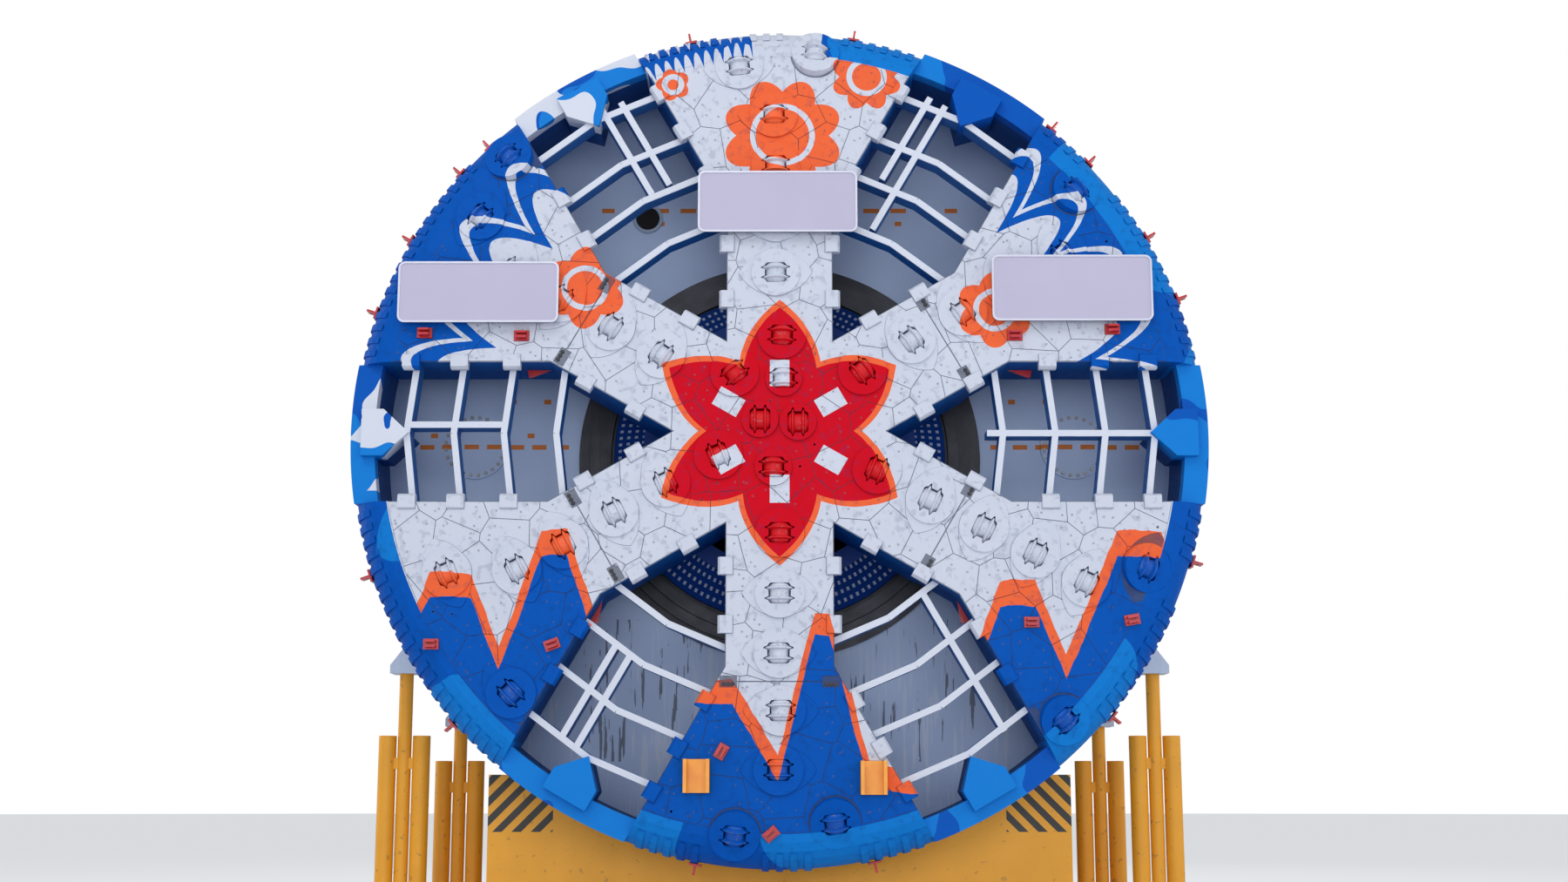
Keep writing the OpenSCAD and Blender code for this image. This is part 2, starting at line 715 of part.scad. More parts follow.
// Shelves on the skin that rest on the posts of the side jacks, with two gussets each
module jack_brackets()
  difference() {
    for (side = [0, 1]) mirror([side, 0, 0])
      for (j = JACKS) translate([0, j[3], j[2] + seat]) {
        far = jack_x(j) + bracket_half;
        translate([0, -bracket_half, 0]) cube([far, 2 * bracket_half, shelf_t]);
        for (y = [-bracket_half, bracket_half - gusset_t])
          translate([0, y + gusset_t, 0]) rotate([90, 0, 0]) linear_extrude(gusset_t)
            polygon([[0, shelf_t / 2], [far, shelf_t / 2], [far, 1.5 * shelf_t],
                     [jack_x(j) - jack_gap, gusset_h], [0, gusset_h]]);
      }
    translate([0, -face_y, axis_z]) rotate([-90, 0, 0])
      cylinder(r = shield_r - shield_wall / 2, h = shield_rear + past, $fn = 180);
  }
// Half width and thickness of a jack bracket's shelf
bracket_half = 260;
shelf_t = 100;
// Thickness and height of its gussets
gusset_t = 60;
gusset_h = 900;

module shell_skin()
  face_frame() difference() {
    rotate_extrude($fn = 180)
      polygon([[shield_r - shield_wall, -shield_front], [shield_r, -shield_front],
               [shield_r, -shield_rear], [shield_r - shield_wall - flange_w, -shield_rear],
               [shield_r - shield_wall - flange_w, -shield_rear + flange_t],
               [shield_r - shield_wall, -shield_rear + flange_t]]);
    for (i = [0:flange_bolts - 1])
      rotate(i * 360 / flange_bolts)
        translate([flange_pcd / 2, 0, -shield_rear - past])
          cylinder(r = flange_hole_r, h = flange_t + 1.5 * past, $fn = 24);
  }
// Pitch circle of the rear flange
flange_pcd = 2 * (shield_r - shield_wall - flange_w / 2);

module bulkhead()
  color([0.55, 0.60, 0.68])
  face_frame() difference() {
    union() {
      translate([0, 0, -bulkhead_front - bulkhead_t])
        ring(shield_r - shield_wall - seat, housing_r + seat, bulkhead_t);
      // Radial ribs and one girder ring behind the plate
      for (i = [0:bulkhead_ribs - 1])
        rotate((i + 0.5) * 360 / bulkhead_ribs)
          translate([housing_r + fuse, -girder_t / 2, -bulkhead_front - bulkhead_t - bulkhead_rib])
            cube([shield_r - shield_wall - housing_r - 2 * fuse, girder_t, bulkhead_rib + fuse]);
      translate([0, 0, -bulkhead_front - bulkhead_t - bulkhead_rib])
        ring(girder_r + girder_t / 2, girder_r - girder_t / 2, bulkhead_rib + fuse);
      for (y = [feed_z, -discharge_z])
        translate([0, y, -pipe_end]) {
          cylinder(r = pipe_r, h = pipe_end - bulkhead_front - fuse, $fn = 48);
          cylinder(r = pipe_r + pipe_flange, h = pipe_flange, $fn = 48);
        }
      for (m = MANHOLES)
        translate([m[0], m[1], -bulkhead_front - fuse])
          cylinder(r = m[2], h = fuse + cover_h, $fn = 48);
    }
    for (y = [feed_z, -discharge_z])
      translate([0, y, -shield_rear]) cylinder(r = pipe_r - pipe_wall, h = shield_rear, $fn = 48);
  }
// Radius of the girder ring behind the bulkhead, and thickness of ring and ribs
girder_r = 5550;
girder_t = 60;
// Depth of the slurry pipes' ends behind the face, and size of their flanges
pipe_end = 4600;
pipe_flange = 65;
// Round covers on the bulkhead: x, z, radius
MANHOLES = [[-5700, 250, 620], [5500, 250, 620]];
cover_h = 40;

module bearing_housing()
  color([0.16, 0.17, 0.19])
  face_frame() {
    rotate_extrude($fn = 120)
      polygon(concat(
        [for (i = [0:2]) for (edge = [0, 1])
          [seal_inner_r + (i + edge) * 2 * seal_step, -bulkhead_front + (3 - i) * seal_step]],
        [[housing_r, -bulkhead_front + seal_step], [housing_r, -housing_rear],
         [spigot_r + turn_play, -housing_rear], [spigot_r + turn_play, -drum_rear - seal_gap],
         [seal_inner_r, -drum_rear - seal_gap]]));
    // The rear cover with the rotary union in its middle
    translate([0, 0, -housing_rear - rear_cover_t])
      ring(rear_cover_r, union_r - 2 * fuse, rear_cover_t);
    translate([0, 0, -housing_rear - union_l]) cylinder(r = union_r, h = union_l, $fn = 60);
    translate([0, 0, -housing_rear - 1.4 * union_l])
      cylinder(r = 0.65 * union_r, h = 1.4 * union_l, $fn = 60);
  }
// Height of each step of the seal ring, half of its width
seal_step = 100;
// Gap between the drum's rear end and the housing
seal_gap = 40;
// Radius and thickness of the rear cover, radius and length of the rotary union
rear_cover_r = spigot_r + 60;
rear_cover_t = 80;
union_r = 460;
union_l = 700;

module drive_motors()
  color([0.10, 0.35, 0.70])
  for (i = [0:motors - 1])
    face_frame() rotate((i + 0.5) * 360 / motors)
      translate([motor_ring, 0, -housing_rear - seat]) {
        translate([0, 0, -motor_foot]) cylinder(r = gearbox_r + motor_foot, h = motor_foot, $fn = 36);
        translate([0, 0, -motor_foot - gearbox_l]) cylinder(r = gearbox_r, h = gearbox_l, $fn = 36);
        translate([0, 0, -motor_foot - gearbox_l - motor_l])
          cylinder(r = motor_r, h = motor_l + fuse, $fn = 36);
      }
// Thickness of the motors' feet, and their distance from the rear cover
motor_foot = 55;
motor_gap = 75;
// Radius of the circle that the motors stand on
motor_ring = rear_cover_r + motor_gap + gearbox_r + motor_foot;

module cradle()
  color([0.95, 0.68, 0.10]) {
    for (y = [-saddle_pitch, 0, saddle_pitch])
      translate([0, y + saddle_t / 2, 0]) rotate([90, 0, 0]) linear_extrude(saddle_t)
        difference() {
          translate([-saddle_half_w, 0]) square([2 * saddle_half_w, cheek_z]);
          translate([0, axis_z]) circle(r = shield_r + seat, $fn = 180);
        }
    for (x = [-beam_x, 0, beam_x])
      translate([x - beam_w / 2, -cradle_half_l, 0]) cube([beam_w, 2 * cradle_half_l, beam_h]);
    translate([-saddle_half_w - floor_edge, -cradle_half_l - floor_edge, 0])
      cube([2 * (saddle_half_w + floor_edge), 2 * (cradle_half_l + floor_edge), floor_t]);
  }
// Half of the length over the saddles, and how far the floor plate reaches past them
cradle_half_l = saddle_pitch + saddle_t / 2;
floor_edge = 100;
// Beams between the saddles: distance from the middle, width, height
beam_x = 3600;
beam_w = 600;
beam_h = 700;

module side_jacks()
  color([0.96, 0.65, 0.05])
  for (side = [0, 1]) mirror([side, 0, 0])
    for (j = JACKS) translate([jack_x(j), j[3], 0]) {
      for (dx = [-jack_gap, jack_gap])
        translate([dx, 0, 0]) cylinder(r = jack_r, h = j[1], $fn = 36);
      cylinder(r = post_r, h = j[2], $fn = 36);
      translate([-jack_gap - jack_r, -jack_r, 0])
        cube([2 * (jack_gap + jack_r), 2 * jack_r, yoke_h]);
      translate([-jack_gap, -jack_r / 2, j[1] - 3 * yoke_h]) cube([2 * jack_gap, jack_r, yoke_h]);
    }
// Height of a jack's foot and of the yoke between its cylinders
yoke_h = 200;

centre_block();
outer_blocks();
rim_ring();
grizzly_bars();
cutter_casings();
edge_scrapers();
lifting_lugs();
turning_brackets();
drive_drum();
shield_shell();
bulkhead();
bearing_housing();
drive_motors();
cradle();
side_jacks();
for (c = CUTTERS) disc_cutter(c);
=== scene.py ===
import math
import random

import bmesh
import bpy
from mathutils import Matrix, Vector


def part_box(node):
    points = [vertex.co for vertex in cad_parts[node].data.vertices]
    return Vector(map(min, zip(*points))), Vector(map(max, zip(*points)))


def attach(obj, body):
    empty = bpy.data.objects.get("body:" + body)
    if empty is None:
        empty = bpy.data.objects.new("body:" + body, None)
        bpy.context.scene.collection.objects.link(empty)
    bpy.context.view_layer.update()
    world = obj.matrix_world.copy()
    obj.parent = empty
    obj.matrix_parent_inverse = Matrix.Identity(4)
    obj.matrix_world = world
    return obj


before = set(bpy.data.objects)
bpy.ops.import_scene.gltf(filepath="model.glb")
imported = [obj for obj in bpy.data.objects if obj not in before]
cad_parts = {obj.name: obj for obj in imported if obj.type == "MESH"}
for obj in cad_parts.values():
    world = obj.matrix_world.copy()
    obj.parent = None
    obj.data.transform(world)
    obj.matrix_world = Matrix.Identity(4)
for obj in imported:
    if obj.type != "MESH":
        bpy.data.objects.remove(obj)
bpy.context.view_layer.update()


# Where the machine stands: its axis runs along Y at the height of the drum's
# middle, and the cutting face is the front of the white centre block.
AXIS_Z = (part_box("drive_drum")[0].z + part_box("drive_drum")[1].z) / 2
FACE_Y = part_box("centre_block")[0].y


# The view from the floor in front of the machine, looking up at its head, with
# the frame raised a little so that the whole head shows.
EYE_HEIGHT = 2.4
VIEW_DISTANCE = 30.0
FRAME_PX = (1800, 1013)
AXIS_PX = (895, 495)
PX_PER_METRE = 66.4
RAISED_SHARE = 0.05

lift = AXIS_Z - EYE_HEIGHT
focal_px = PX_PER_METRE * math.hypot(VIEW_DISTANCE, lift)
above_middle_px = FRAME_PX[1] / 2 - AXIS_PX[1] + RAISED_SHARE * FRAME_PX[0]
pitch = math.atan(lift / VIEW_DISTANCE) - math.atan(above_middle_px / focal_px)

camera_data = bpy.data.cameras.new("visitor_view")
camera_data.sensor_width = 36.0
camera_data.lens = camera_data.sensor_width * focal_px / FRAME_PX[0]
camera_data.shift_x = (FRAME_PX[0] / 2 - AXIS_PX[0]) / FRAME_PX[0]
camera_data.shift_y = RAISED_SHARE
camera = bpy.data.objects.new("visitor_view", camera_data)
camera.location = (0.0, FACE_Y - VIEW_DISTANCE, EYE_HEIGHT)
camera.rotation_euler = (math.radians(90) + pitch, 0, 0)
bpy.context.scene.collection.objects.link(camera)
bpy.context.scene.camera = camera
bpy.context.scene.view_settings.view_transform = "Standard"


# Paints and metals are worked out in each material's own nodes. A Value is one
# number in such a material, and sums on it become the material's Math nodes.
class Value:
    def __init__(self, paint, socket):
        self.paint = paint
        self.socket = socket

    def maths(self, operation, *numbers):
        return self.paint.node("ShaderNodeMath", {"operation": operation}, numbers)

    def through(self, operation, *others):
        """The operation on this value, with any others after it."""
        return self.maths(operation, self, *others)

    def __add__(self, other):
        return self.maths("ADD", self, other)

    def __sub__(self, other):
        return self.maths("SUBTRACT", self, other)

    def __mul__(self, other):
        return self.maths("MULTIPLY", self, other)

    def __truediv__(self, other):
        return self.maths("DIVIDE", self, other)

    def __mod__(self, other):
        return self.maths("FLOORED_MODULO", self, other)

    def __radd__(self, other):
        return self.maths("ADD", other, self)

    def __rsub__(self, other):
        return self.maths("SUBTRACT", other, self)

    def __rmul__(self, other):
        return self.maths("MULTIPLY", other, self)

    def __gt__(self, other):
        return self.maths("GREATER_THAN", self, other)

    def __lt__(self, other):
        return self.maths("LESS_THAN", self, other)

    def __abs__(self):
        return self.maths("ABSOLUTE", self)

    def either(self, other):
        return self.maths("MAXIMUM", self, other)

    def least(self, other):
        return self.maths("MINIMUM", self, other)


class Paint:
    def __init__(self, name):
        self.material = bpy.data.materials.new(name)
        self.material.use_nodes = True
        self.tree = self.material.node_tree
        self.shader = self.tree.nodes["Principled BSDF"]
        self.known = {}

    def node(self, kind, settings=None, inputs=(), output=0):
        made = self.tree.nodes.new(kind)
        for name, setting in (settings or {}).items():
            setattr(made, name, setting)
        named = inputs.items() if isinstance(inputs, dict) else enumerate(inputs)
        for key, item in named:
            self.put(made.inputs[key], item)
        return Value(self, made.outputs[output])

    def put(self, socket, item):
        if isinstance(item, Value):
            self.tree.links.new(item.socket, socket)
        else:
            socket.default_value = item

    def set(self, **items):
        for name, item in items.items():
            self.put(self.shader.inputs[name.replace("_", " ")], item)

    def mix(self, factor, first, second):
        return self.node("ShaderNodeMix", {"data_type": "RGBA"},
                         {0: factor, 6: first, 7: second}, 2)

    def place(self):
        if "place" not in self.known:
            self.known["place"] = self.node("ShaderNodeTexCoord", output="Object")
        return self.known["place"]

    def parts_of(self, vector):
        return [self.node("ShaderNodeSeparateXYZ", None, [vector], i) for i in range(3)]

    def noise(self, scale, detail=3.0, vector=None):
        if (scale, detail, vector) not in self.known:
            self.known[scale, detail, vector] = self.node(
                "ShaderNodeTexNoise", None,
                {"Vector": vector or self.place(), "Scale": scale, "Detail": detail})
        return self.known[scale, detail, vector]

    def bump(self, height, strength, distance):
        return self.node("ShaderNodeBump", None,
                         {"Strength": strength, "Distance": distance, "Height": height})


def distance_of(across, up):
    """How far a point is from the middle, from its two parts."""
    return (across * across + up * up).through("SQRT")


def angle_of(across, up):
    return up.through("ARCTAN2", across)


def colour(red, green, blue):
    """A colour as the eye reads it, 0 to 255, as the light that a shader takes."""
    steps = [c / 255 for c in (red, green, blue)]
    light = [s / 12.92 if s <= 0.04045 else ((s + 0.055) / 1.055) ** 2.4 for s in steps]
    return (*light, 1.0)


def paint_node(name, material):
    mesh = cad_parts[name].data
    mesh.materials.clear()
    mesh.materials.append(material)


def piece_from(name, mesh, material, body):
    """A new piece, its mesh drawn in the row frame, that rides on a body."""
    data = bpy.data.meshes.new(name)
    mesh.to_mesh(data)
    mesh.free()
    data.materials.append(material)
    piece = bpy.data.objects.new(name, data)
    bpy.context.scene.collection.objects.link(piece)
    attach(piece, body)
    return piece


# The floor is a pale screed that runs on to a white backdrop. It glows a little
# where it is seen, and the light comes soft from five wide lamps.
FLOOR_RADIUS = 400
FLOOR_GREY = colour(226, 228, 231)
FLOOR_SHADE = colour(214, 217, 221)
FLOOR_GLOW = colour(238, 240, 243)
GLOW_SHARE = 0.6
SKY_WHITE = (1.0, 1.0, 1.0, 1.0)
AMBIENT = 0.5


def seen_directly(tree):
    """1 where the camera sees a surface itself, in a mirror or through glass."""
    rays = tree.nodes.new("ShaderNodeLightPath")
    seen = rays.outputs["Is Camera Ray"]
    for ray in ("Is Glossy Ray", "Is Transmission Ray"):
        either = tree.nodes.new("ShaderNodeMath")
        either.operation = "MAXIMUM"
        tree.links.new(seen, either.inputs[0])
        tree.links.new(rays.outputs[ray], either.inputs[1])
        seen = either.outputs[0]
    return seen


floor_mesh = bmesh.new()
bmesh.ops.create_circle(floor_mesh, cap_ends=True, segments=96, radius=FLOOR_RADIUS)
floor_data = bpy.data.meshes.new("floor")
floor_mesh.to_mesh(floor_data)
floor_mesh.free()
floor = bpy.data.objects.new("floor", floor_data)
bpy.context.scene.collection.objects.link(floor)
screed = Paint("screed")
screed.set(Base_Color=screed.mix(screed.noise(0.6) * 0.4, FLOOR_GREY, FLOOR_SHADE),
           Roughness=0.7)
glow = screed.node("ShaderNodeEmission", None, {"Color": FLOOR_GLOW, "Strength": 1.0})
share = Value(screed, seen_directly(screed.tree)) * GLOW_SHARE
lit = Value(screed, screed.shader.outputs[0])
mixed = screed.node("ShaderNodeMixShader", None, [share, lit, glow])
screed.put(screed.tree.nodes["Material Output"].inputs["Surface"], mixed)
floor_data.materials.append(screed.material)

world = bpy.data.worlds.new("roof_light")
bpy.context.scene.world = world
world.use_nodes = True
sky = world.node_tree
ambient = sky.nodes["Background"]
ambient.inputs["Color"].default_value = (0.93, 0.96, 1.0, 1.0)
ambient.inputs["Strength"].default_value = AMBIENT
backdrop = sky.nodes.new("ShaderNodeBackground")
backdrop.inputs["Color"].default_value = SKY_WHITE
backdrop.inputs["Strength"].default_value = 1.0
choose = sky.nodes.new("ShaderNodeMixShader")
sky.links.new(seen_directly(sky), choose.inputs[0])
sky.links.new(ambient.outputs[0], choose.inputs[1])
sky.links.new(backdrop.outputs[0], choose.inputs[2])
sky.links.new(choose.outputs[0], sky.nodes["World Output"].inputs[0])


# Lamps: name, place, aim, width and height, watts
LAMPS = [("roof_front", (-10, -26, 30), (0, -3, 8), (26, 14), 3000),
         ("door_front", (2, -38, 9), (0, 0, 8.5), (34, 16), 3900),
         ("side_right", (30, -16, 15), (0, -2, 8), (16, 14), 1500),
         ("side_left", (-32, 8, 14), (0, 0, 8), (14, 14), 2000),
         ("roof_back", (8, 30, 26), (0, 2, 8), (26, 14), 3600)]
for name, place, aim, size, watts in LAMPS:
    lamp = bpy.data.lights.new(name, "AREA")
    lamp.shape = "RECTANGLE"
    lamp.size, lamp.size_y = size
    lamp.energy = watts
    held = bpy.data.objects.new(name, lamp)
    held.location = place
    held.rotation_euler = (Vector(aim) - Vector(place)).to_track_quat("-Z", "Y").to_euler()
    bpy.context.scene.collection.objects.link(held)


# The shield's skin, its bulkhead and its flange are rolled and welded steel in
# a pale blue-grey primer. Grease has run down below the drive's seal ring.
SHIELD_GREY = colour(194, 206, 226)
SHIELD_DARK = colour(170, 184, 208)
BULKHEAD_GREY = colour(194, 213, 244)
BULKHEAD_DARK = colour(168, 188, 224)
STREAK_PALE = colour(216, 224, 236)
DRIP_BLACK = colour(70, 72, 80)
MARK_ORANGE = colour(206, 118, 52)
# Rows of sprayed marks: height from the axis, from and to across, pitch, length
MARK_ROWS = [(0.24, 3.95, 6.9, 0.42, 0.27), (0.46, 4.6, 6.6, 1.81, 0.13),
             (1.11, 4.3, 5.2, 0.65, 0.13), (4.86, 1.6, 3.4, 0.52, 0.30),
             (4.60, 2.2, 3.3, 0.78, 0.13)]
MARK_HALF_HEIGHT = 0.045
DRIPS_FROM, DRIPS_TO, DRIPS_HALF = -3.0, -5.6, 3.6
# Pale streaks grow stronger below this height, over this fade, and run downwards
STREAKS_FROM, STREAKS_FADE = -2.0, 3.0
STREAK_STRETCH = (7.0, 7.0, 0.5)
# The bulkhead's round covers stand this much in front of its plate
COVER_HEIGHT = 0.04


def shield_steel(name, streaks, marks):
    paint = Paint(name)
    place = paint.place()
    x, y, z = paint.parts_of(place)
    up = z - AXIS_Z
    tint = paint.mix(paint.noise(0.45), SHIELD_DARK, SHIELD_GREY)
    if marks:
        in_front = (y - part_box("bulkhead")[0].y) < COVER_HEIGHT + 0.02
        front_tint = paint.mix(paint.noise(0.45), BULKHEAD_DARK, BULKHEAD_GREY)
        tint = paint.mix(in_front, tint, front_tint)
    stretched = paint.node("ShaderNodeMapping", None,
                           [place, (0, 0, 0), (0, 0, 0), STREAK_STRETCH])
    streak = paint.noise(1.6, 4.0, stretched)
    low = ((STREAKS_FROM - up) / STREAKS_FADE).either(0.0).least(1.0) * streaks
    worn = paint.mix((streak > 0.60) * low * 0.5, tint, STREAK_PALE)
    if marks:
        below_seal = (up < DRIPS_FROM) * (up > DRIPS_TO) * (abs(x) < DRIPS_HALF)
        drip = (streak < 0.385) * below_seal * in_front
        worn = paint.mix(drip * 0.75, worn, DRIP_BLACK)
        for height, start, end, pitch, length in MARK_ROWS:
            row = abs(up - height) < MARK_HALF_HEIGHT
            dash = ((abs(x) - start) % pitch) < length
            stretch = (abs(x) > start) * (abs(x) < end)
            worn = paint.mix(row * dash * stretch * in_front, worn, MARK_ORANGE)
    paint.set(Base_Color=worn, Metallic=0.1, Specular_IOR_Level=0.3,
              Roughness=paint.noise(9.0) * 0.2 + 0.45,
              Normal=paint.bump(paint.noise(9.0), 0.2, 0.02))
    return paint.material


paint_node("shield_shell", shield_steel("shield_skin_primer", 0.35, False))
paint_node("bulkhead", shield_steel("bulkhead_primer", 0.85, True))


# The bearing housing and its stepped seal ring are turned steel, black with
# grease and dust, with fine machining marks around the axis.
GREASE_BLACK = colour(30, 31, 36)
GREASE_GREY = colour(78, 80, 88)
# Radians of the machining marks' wave per metre outwards
TOOL_MARKS = 160.0

seal_steel = Paint("greased_seal_steel")
seal_x, _, seal_z = seal_steel.parts_of(seal_steel.place())
tool_marks = (distance_of(seal_x, seal_z - AXIS_Z) * TOOL_MARKS).through("SINE")
seal_steel.set(Base_Color=seal_steel.mix(seal_steel.noise(1.1, 6.0), GREASE_BLACK, GREASE_GREY),
               Metallic=0.6,
               Roughness=seal_steel.noise(4.0) * 0.3 + 0.35,
               Normal=seal_steel.bump(tool_marks, 0.12, 0.01))
paint_node("bearing_housing", seal_steel.material)


# The drive motors and their gearboxes are cast housings in blue machine enamel,
# each bolted through its flange to the back of the bearing housing.
ENAMEL_BLUE = colour(40, 88, 150)
ENAMEL_WORN = colour(70, 112, 160)
MOTOR_BOLTS = 12

enamel = Paint("motor_enamel")
enamel.set(Base_Color=enamel.mix(enamel.noise(2.2, 5.0), ENAMEL_BLUE, ENAMEL_WORN),
           Roughness=enamel.noise(5.0) * 0.2 + 0.32,
           Coat_Weight=0.15,
           Normal=enamel.bump(enamel.noise(40.0, 2.0), 0.2, 0.004))
paint_node("drive_motors", enamel.material)


# The cradle and the side jacks are welded plate and chromed rams in yellow
# workshop paint, with black hazard stripes on the cradle's cheeks.
CRADLE_YELLOW = colour(240, 165, 20)
CRADLE_DUSTY = colour(214, 148, 40)
STRIPE_BLACK = colour(28, 27, 26)
STRIPE_PITCH = 0.34
STRIPE_FROM_X = 4.0
STRIPE_FROM_Z = 1.9


def yellow_steel(name, striped):
    paint = Paint(name)
    x, y, z = paint.parts_of(paint.place())
    tint = paint.mix(paint.noise(1.4), CRADLE_YELLOW, CRADLE_DUSTY)
    scuffs = paint.noise(7.0, 5.0) > 0.66
    tint = paint.mix(scuffs * 0.5, tint, colour(150, 110, 50))
    if striped:
        slant = ((abs(x) + z) % STRIPE_PITCH) < STRIPE_PITCH / 2
        zone = (abs(x) > STRIPE_FROM_X) * (z > STRIPE_FROM_Z)
        tint = paint.mix(slant * zone, tint, STRIPE_BLACK)
    paint.set(Base_Color=tint, Roughness=paint.noise(1.4) * 0.25 + 0.38,
              Normal=paint.bump(paint.noise(14.0), 0.2, 0.01))
    return paint.material


paint_node("cradle", yellow_steel("cradle_paint", True))
paint_node("side_jacks", yellow_steel("jack_paint", False))


# The drum that carries the head is welded plate in deep blue, with a belt of
# pale bolt heads around it where it meets the drive ring.
DRUM_BLUE = colour(6, 64, 150)
DRUM_DARK = colour(4, 44, 112)
BELT_DOT = colour(196, 204, 216)
BELT_ROWS = 4
BELT_FROM = 1.66
BELT_STEP = 0.13
BELT_ANGLE = math.radians(2.4)
BELT_DOT_SHARE = 0.42

drum_paint = Paint("drum_paint")
drum_x, drum_y, drum_z = drum_paint.parts_of(drum_paint.place())
around = angle_of(drum_x, drum_z - AXIS_Z)
across_dot = abs(((around + 2 * math.pi) % BELT_ANGLE) / BELT_ANGLE - 0.5) < BELT_DOT_SHARE / 2
along = (drum_y - (FACE_Y + BELT_FROM)) / BELT_STEP
along_dot = abs((along % 1.0) - 0.5) < BELT_DOT_SHARE / 2
belt = across_dot * along_dot * (along > 0.0) * (along < float(BELT_ROWS))
drum_tint = drum_paint.mix(drum_paint.noise(1.0), DRUM_BLUE, DRUM_DARK)
drum_paint.set(Base_Color=drum_paint.mix(belt * 0.8, drum_tint, BELT_DOT),
               Roughness=drum_paint.noise(8.0) * 0.15 + 0.42, Specular_IOR_Level=0.2,
               Normal=drum_paint.bump(drum_paint.noise(8.0), 0.2, 0.01))
paint_node("drive_drum", drum_paint.material)


# The head wears a workshop paint scheme of plain shapes on white: blue hills
# with orange edges below, blue scallops along the upper rim, orange rosettes,
# and a red star in the middle. It goes over plates, collars and scrapers alike.
HEAD_WHITE = colour(208, 214, 228)
HEAD_BLUE = colour(0, 84, 180)
HEAD_ORANGE = colour(240, 104, 56)
HEAD_RED = colour(206, 0, 22)
RIM_SKY = colour(16, 122, 208)
SIDE_BLUE = colour(10, 84, 160)
# The seams' colour: dirt, with painted shade of the narrow gaps in it
SEAM_DIRT_AND_SHADE = colour(70, 76, 90)
SEAMS_TO_RADIUS = 6.84
# A place this near the face lies in a seam, and one this far behind it on a wall
SEAM_DEPTH, WALL_DEPTH = 0.003, 0.035
# Hills: middle, height of the top, steepness, half width of the top
HILLS = [(-5.6, -2.45, 2.6, 0.35), (-3.85, -1.75, 2.9, 0.22), (-1.15, -4.25, 1.7, 0.35),
         (0.72, -3.1, 3.9, 0.12), (4.05, -2.6, 2.6, 0.30), (6.15, -1.75, 2.3, 0.38)]
HILL_EDGE = 0.42
HILL_FOOT = -5.75
# Scallop bands: middle angle, half of their span, inner radius, height of a scallop, scallops
SCALLOPS = [(152, 34, 5.15, 0.95, 6), (33, 30, 5.2, 1.0, 6), (103, 9, 6.75, 0.35, 12)]
SCALLOP_LINE = (0.42, 0.62)
# Rosettes: x, height, radius, petals
ROSETTES = [(0.05, 5.35, 1.05, 8), (-3.4, 2.55, 0.72, 6), (1.55, 6.45, 0.62, 8),
            (3.75, 2.15, 0.66, 6), (-1.9, 6.3, 0.3, 5)]
ROSETTE_LINE = 0.05
STAR_RADIUS = 2.2
STAR_DEPTH = 0.42
STAR_EDGE = 0.14
# Windows of the star: distance from the middle, half length, half width
STAR_WINDOW = (1.02, 0.24, 0.17)
FLAT_RADIUS = 6.86


def head_colour(paint, base):
    """The painted scheme over a base colour, with the place's radius, angle and depth."""
    x, y, z = paint.parts_of(paint.place())
    up = z - AXIS_Z
    wobble = paint.noise(1.3) * 0.16 - 0.08
    radius = distance_of(x, up)
    degrees = (angle_of(x, up) * (180 / math.pi) + 360.0) % 360.0
    tint = base
    # Scallops along the upper rim, each with a white line inside
    for middle, half_span, inner, height, count in SCALLOPS:
        phase = ((degrees - middle) * (math.pi / (2 * half_span) * count)).through("SINE")
        rise = radius - inner - abs(phase) * height + wobble
        zone = abs(degrees - middle) < half_span
        tint = paint.mix((rise > 0.0) * zone, tint, HEAD_BLUE)
        line = (rise > SCALLOP_LINE[0]) * (rise < SCALLOP_LINE[1])
        tint = paint.mix(line * zone, tint, HEAD_WHITE)
    # Rosettes with a white ring
    for middle_x, height, size, petals in ROSETTES:
        off_x, off_up = x - middle_x, up - height
        reach = distance_of(off_x, off_up)
        petal = (angle_of(off_x, off_up) * (petals / 2.0)).through("SINE")
        edge = (0.78 + abs(petal) * 0.24) * size
        tint = paint.mix(reach < edge, tint, HEAD_ORANGE)
        tint = paint.mix(abs(reach - size * 0.5) < ROSETTE_LINE, tint, HEAD_WHITE)
    # The red star with its orange edge and six white windows
    fold = (degrees % 60.0) - 30.0
    reach = STAR_RADIUS * (1.0 - abs(fold) * (STAR_DEPTH / 30.0)) + wobble * 0.5
    tint = paint.mix(radius < reach + STAR_EDGE, tint, HEAD_ORANGE)
    tint = paint.mix(radius < reach, tint, HEAD_RED)
    turn = fold * (math.pi / 180)
    window_at, half_long, half_wide = STAR_WINDOW
    out, side = radius * turn.through("COSINE"), radius * turn.through("SINE")
    window = (abs(out - window_at) < half_long) * (abs(side) < half_wide)
    tint = paint.mix(window, tint, HEAD_WHITE)
    # Hills: orange where only the wider outline reaches, blue inside
    rise = None
    for middle, top, steep, flat in HILLS:
        slope = top - (abs(x - middle) - flat).either(0.0) * steep
        rise = slope if rise is None else rise.either(slope)
    rise = rise.either(HILL_FOOT) - up + wobble * 2.0
    tint = paint.mix(rise > 0.0, tint, HEAD_ORANGE)
    tint = paint.mix(rise > HILL_EDGE, tint, HEAD_BLUE)
    return tint, radius, degrees, y


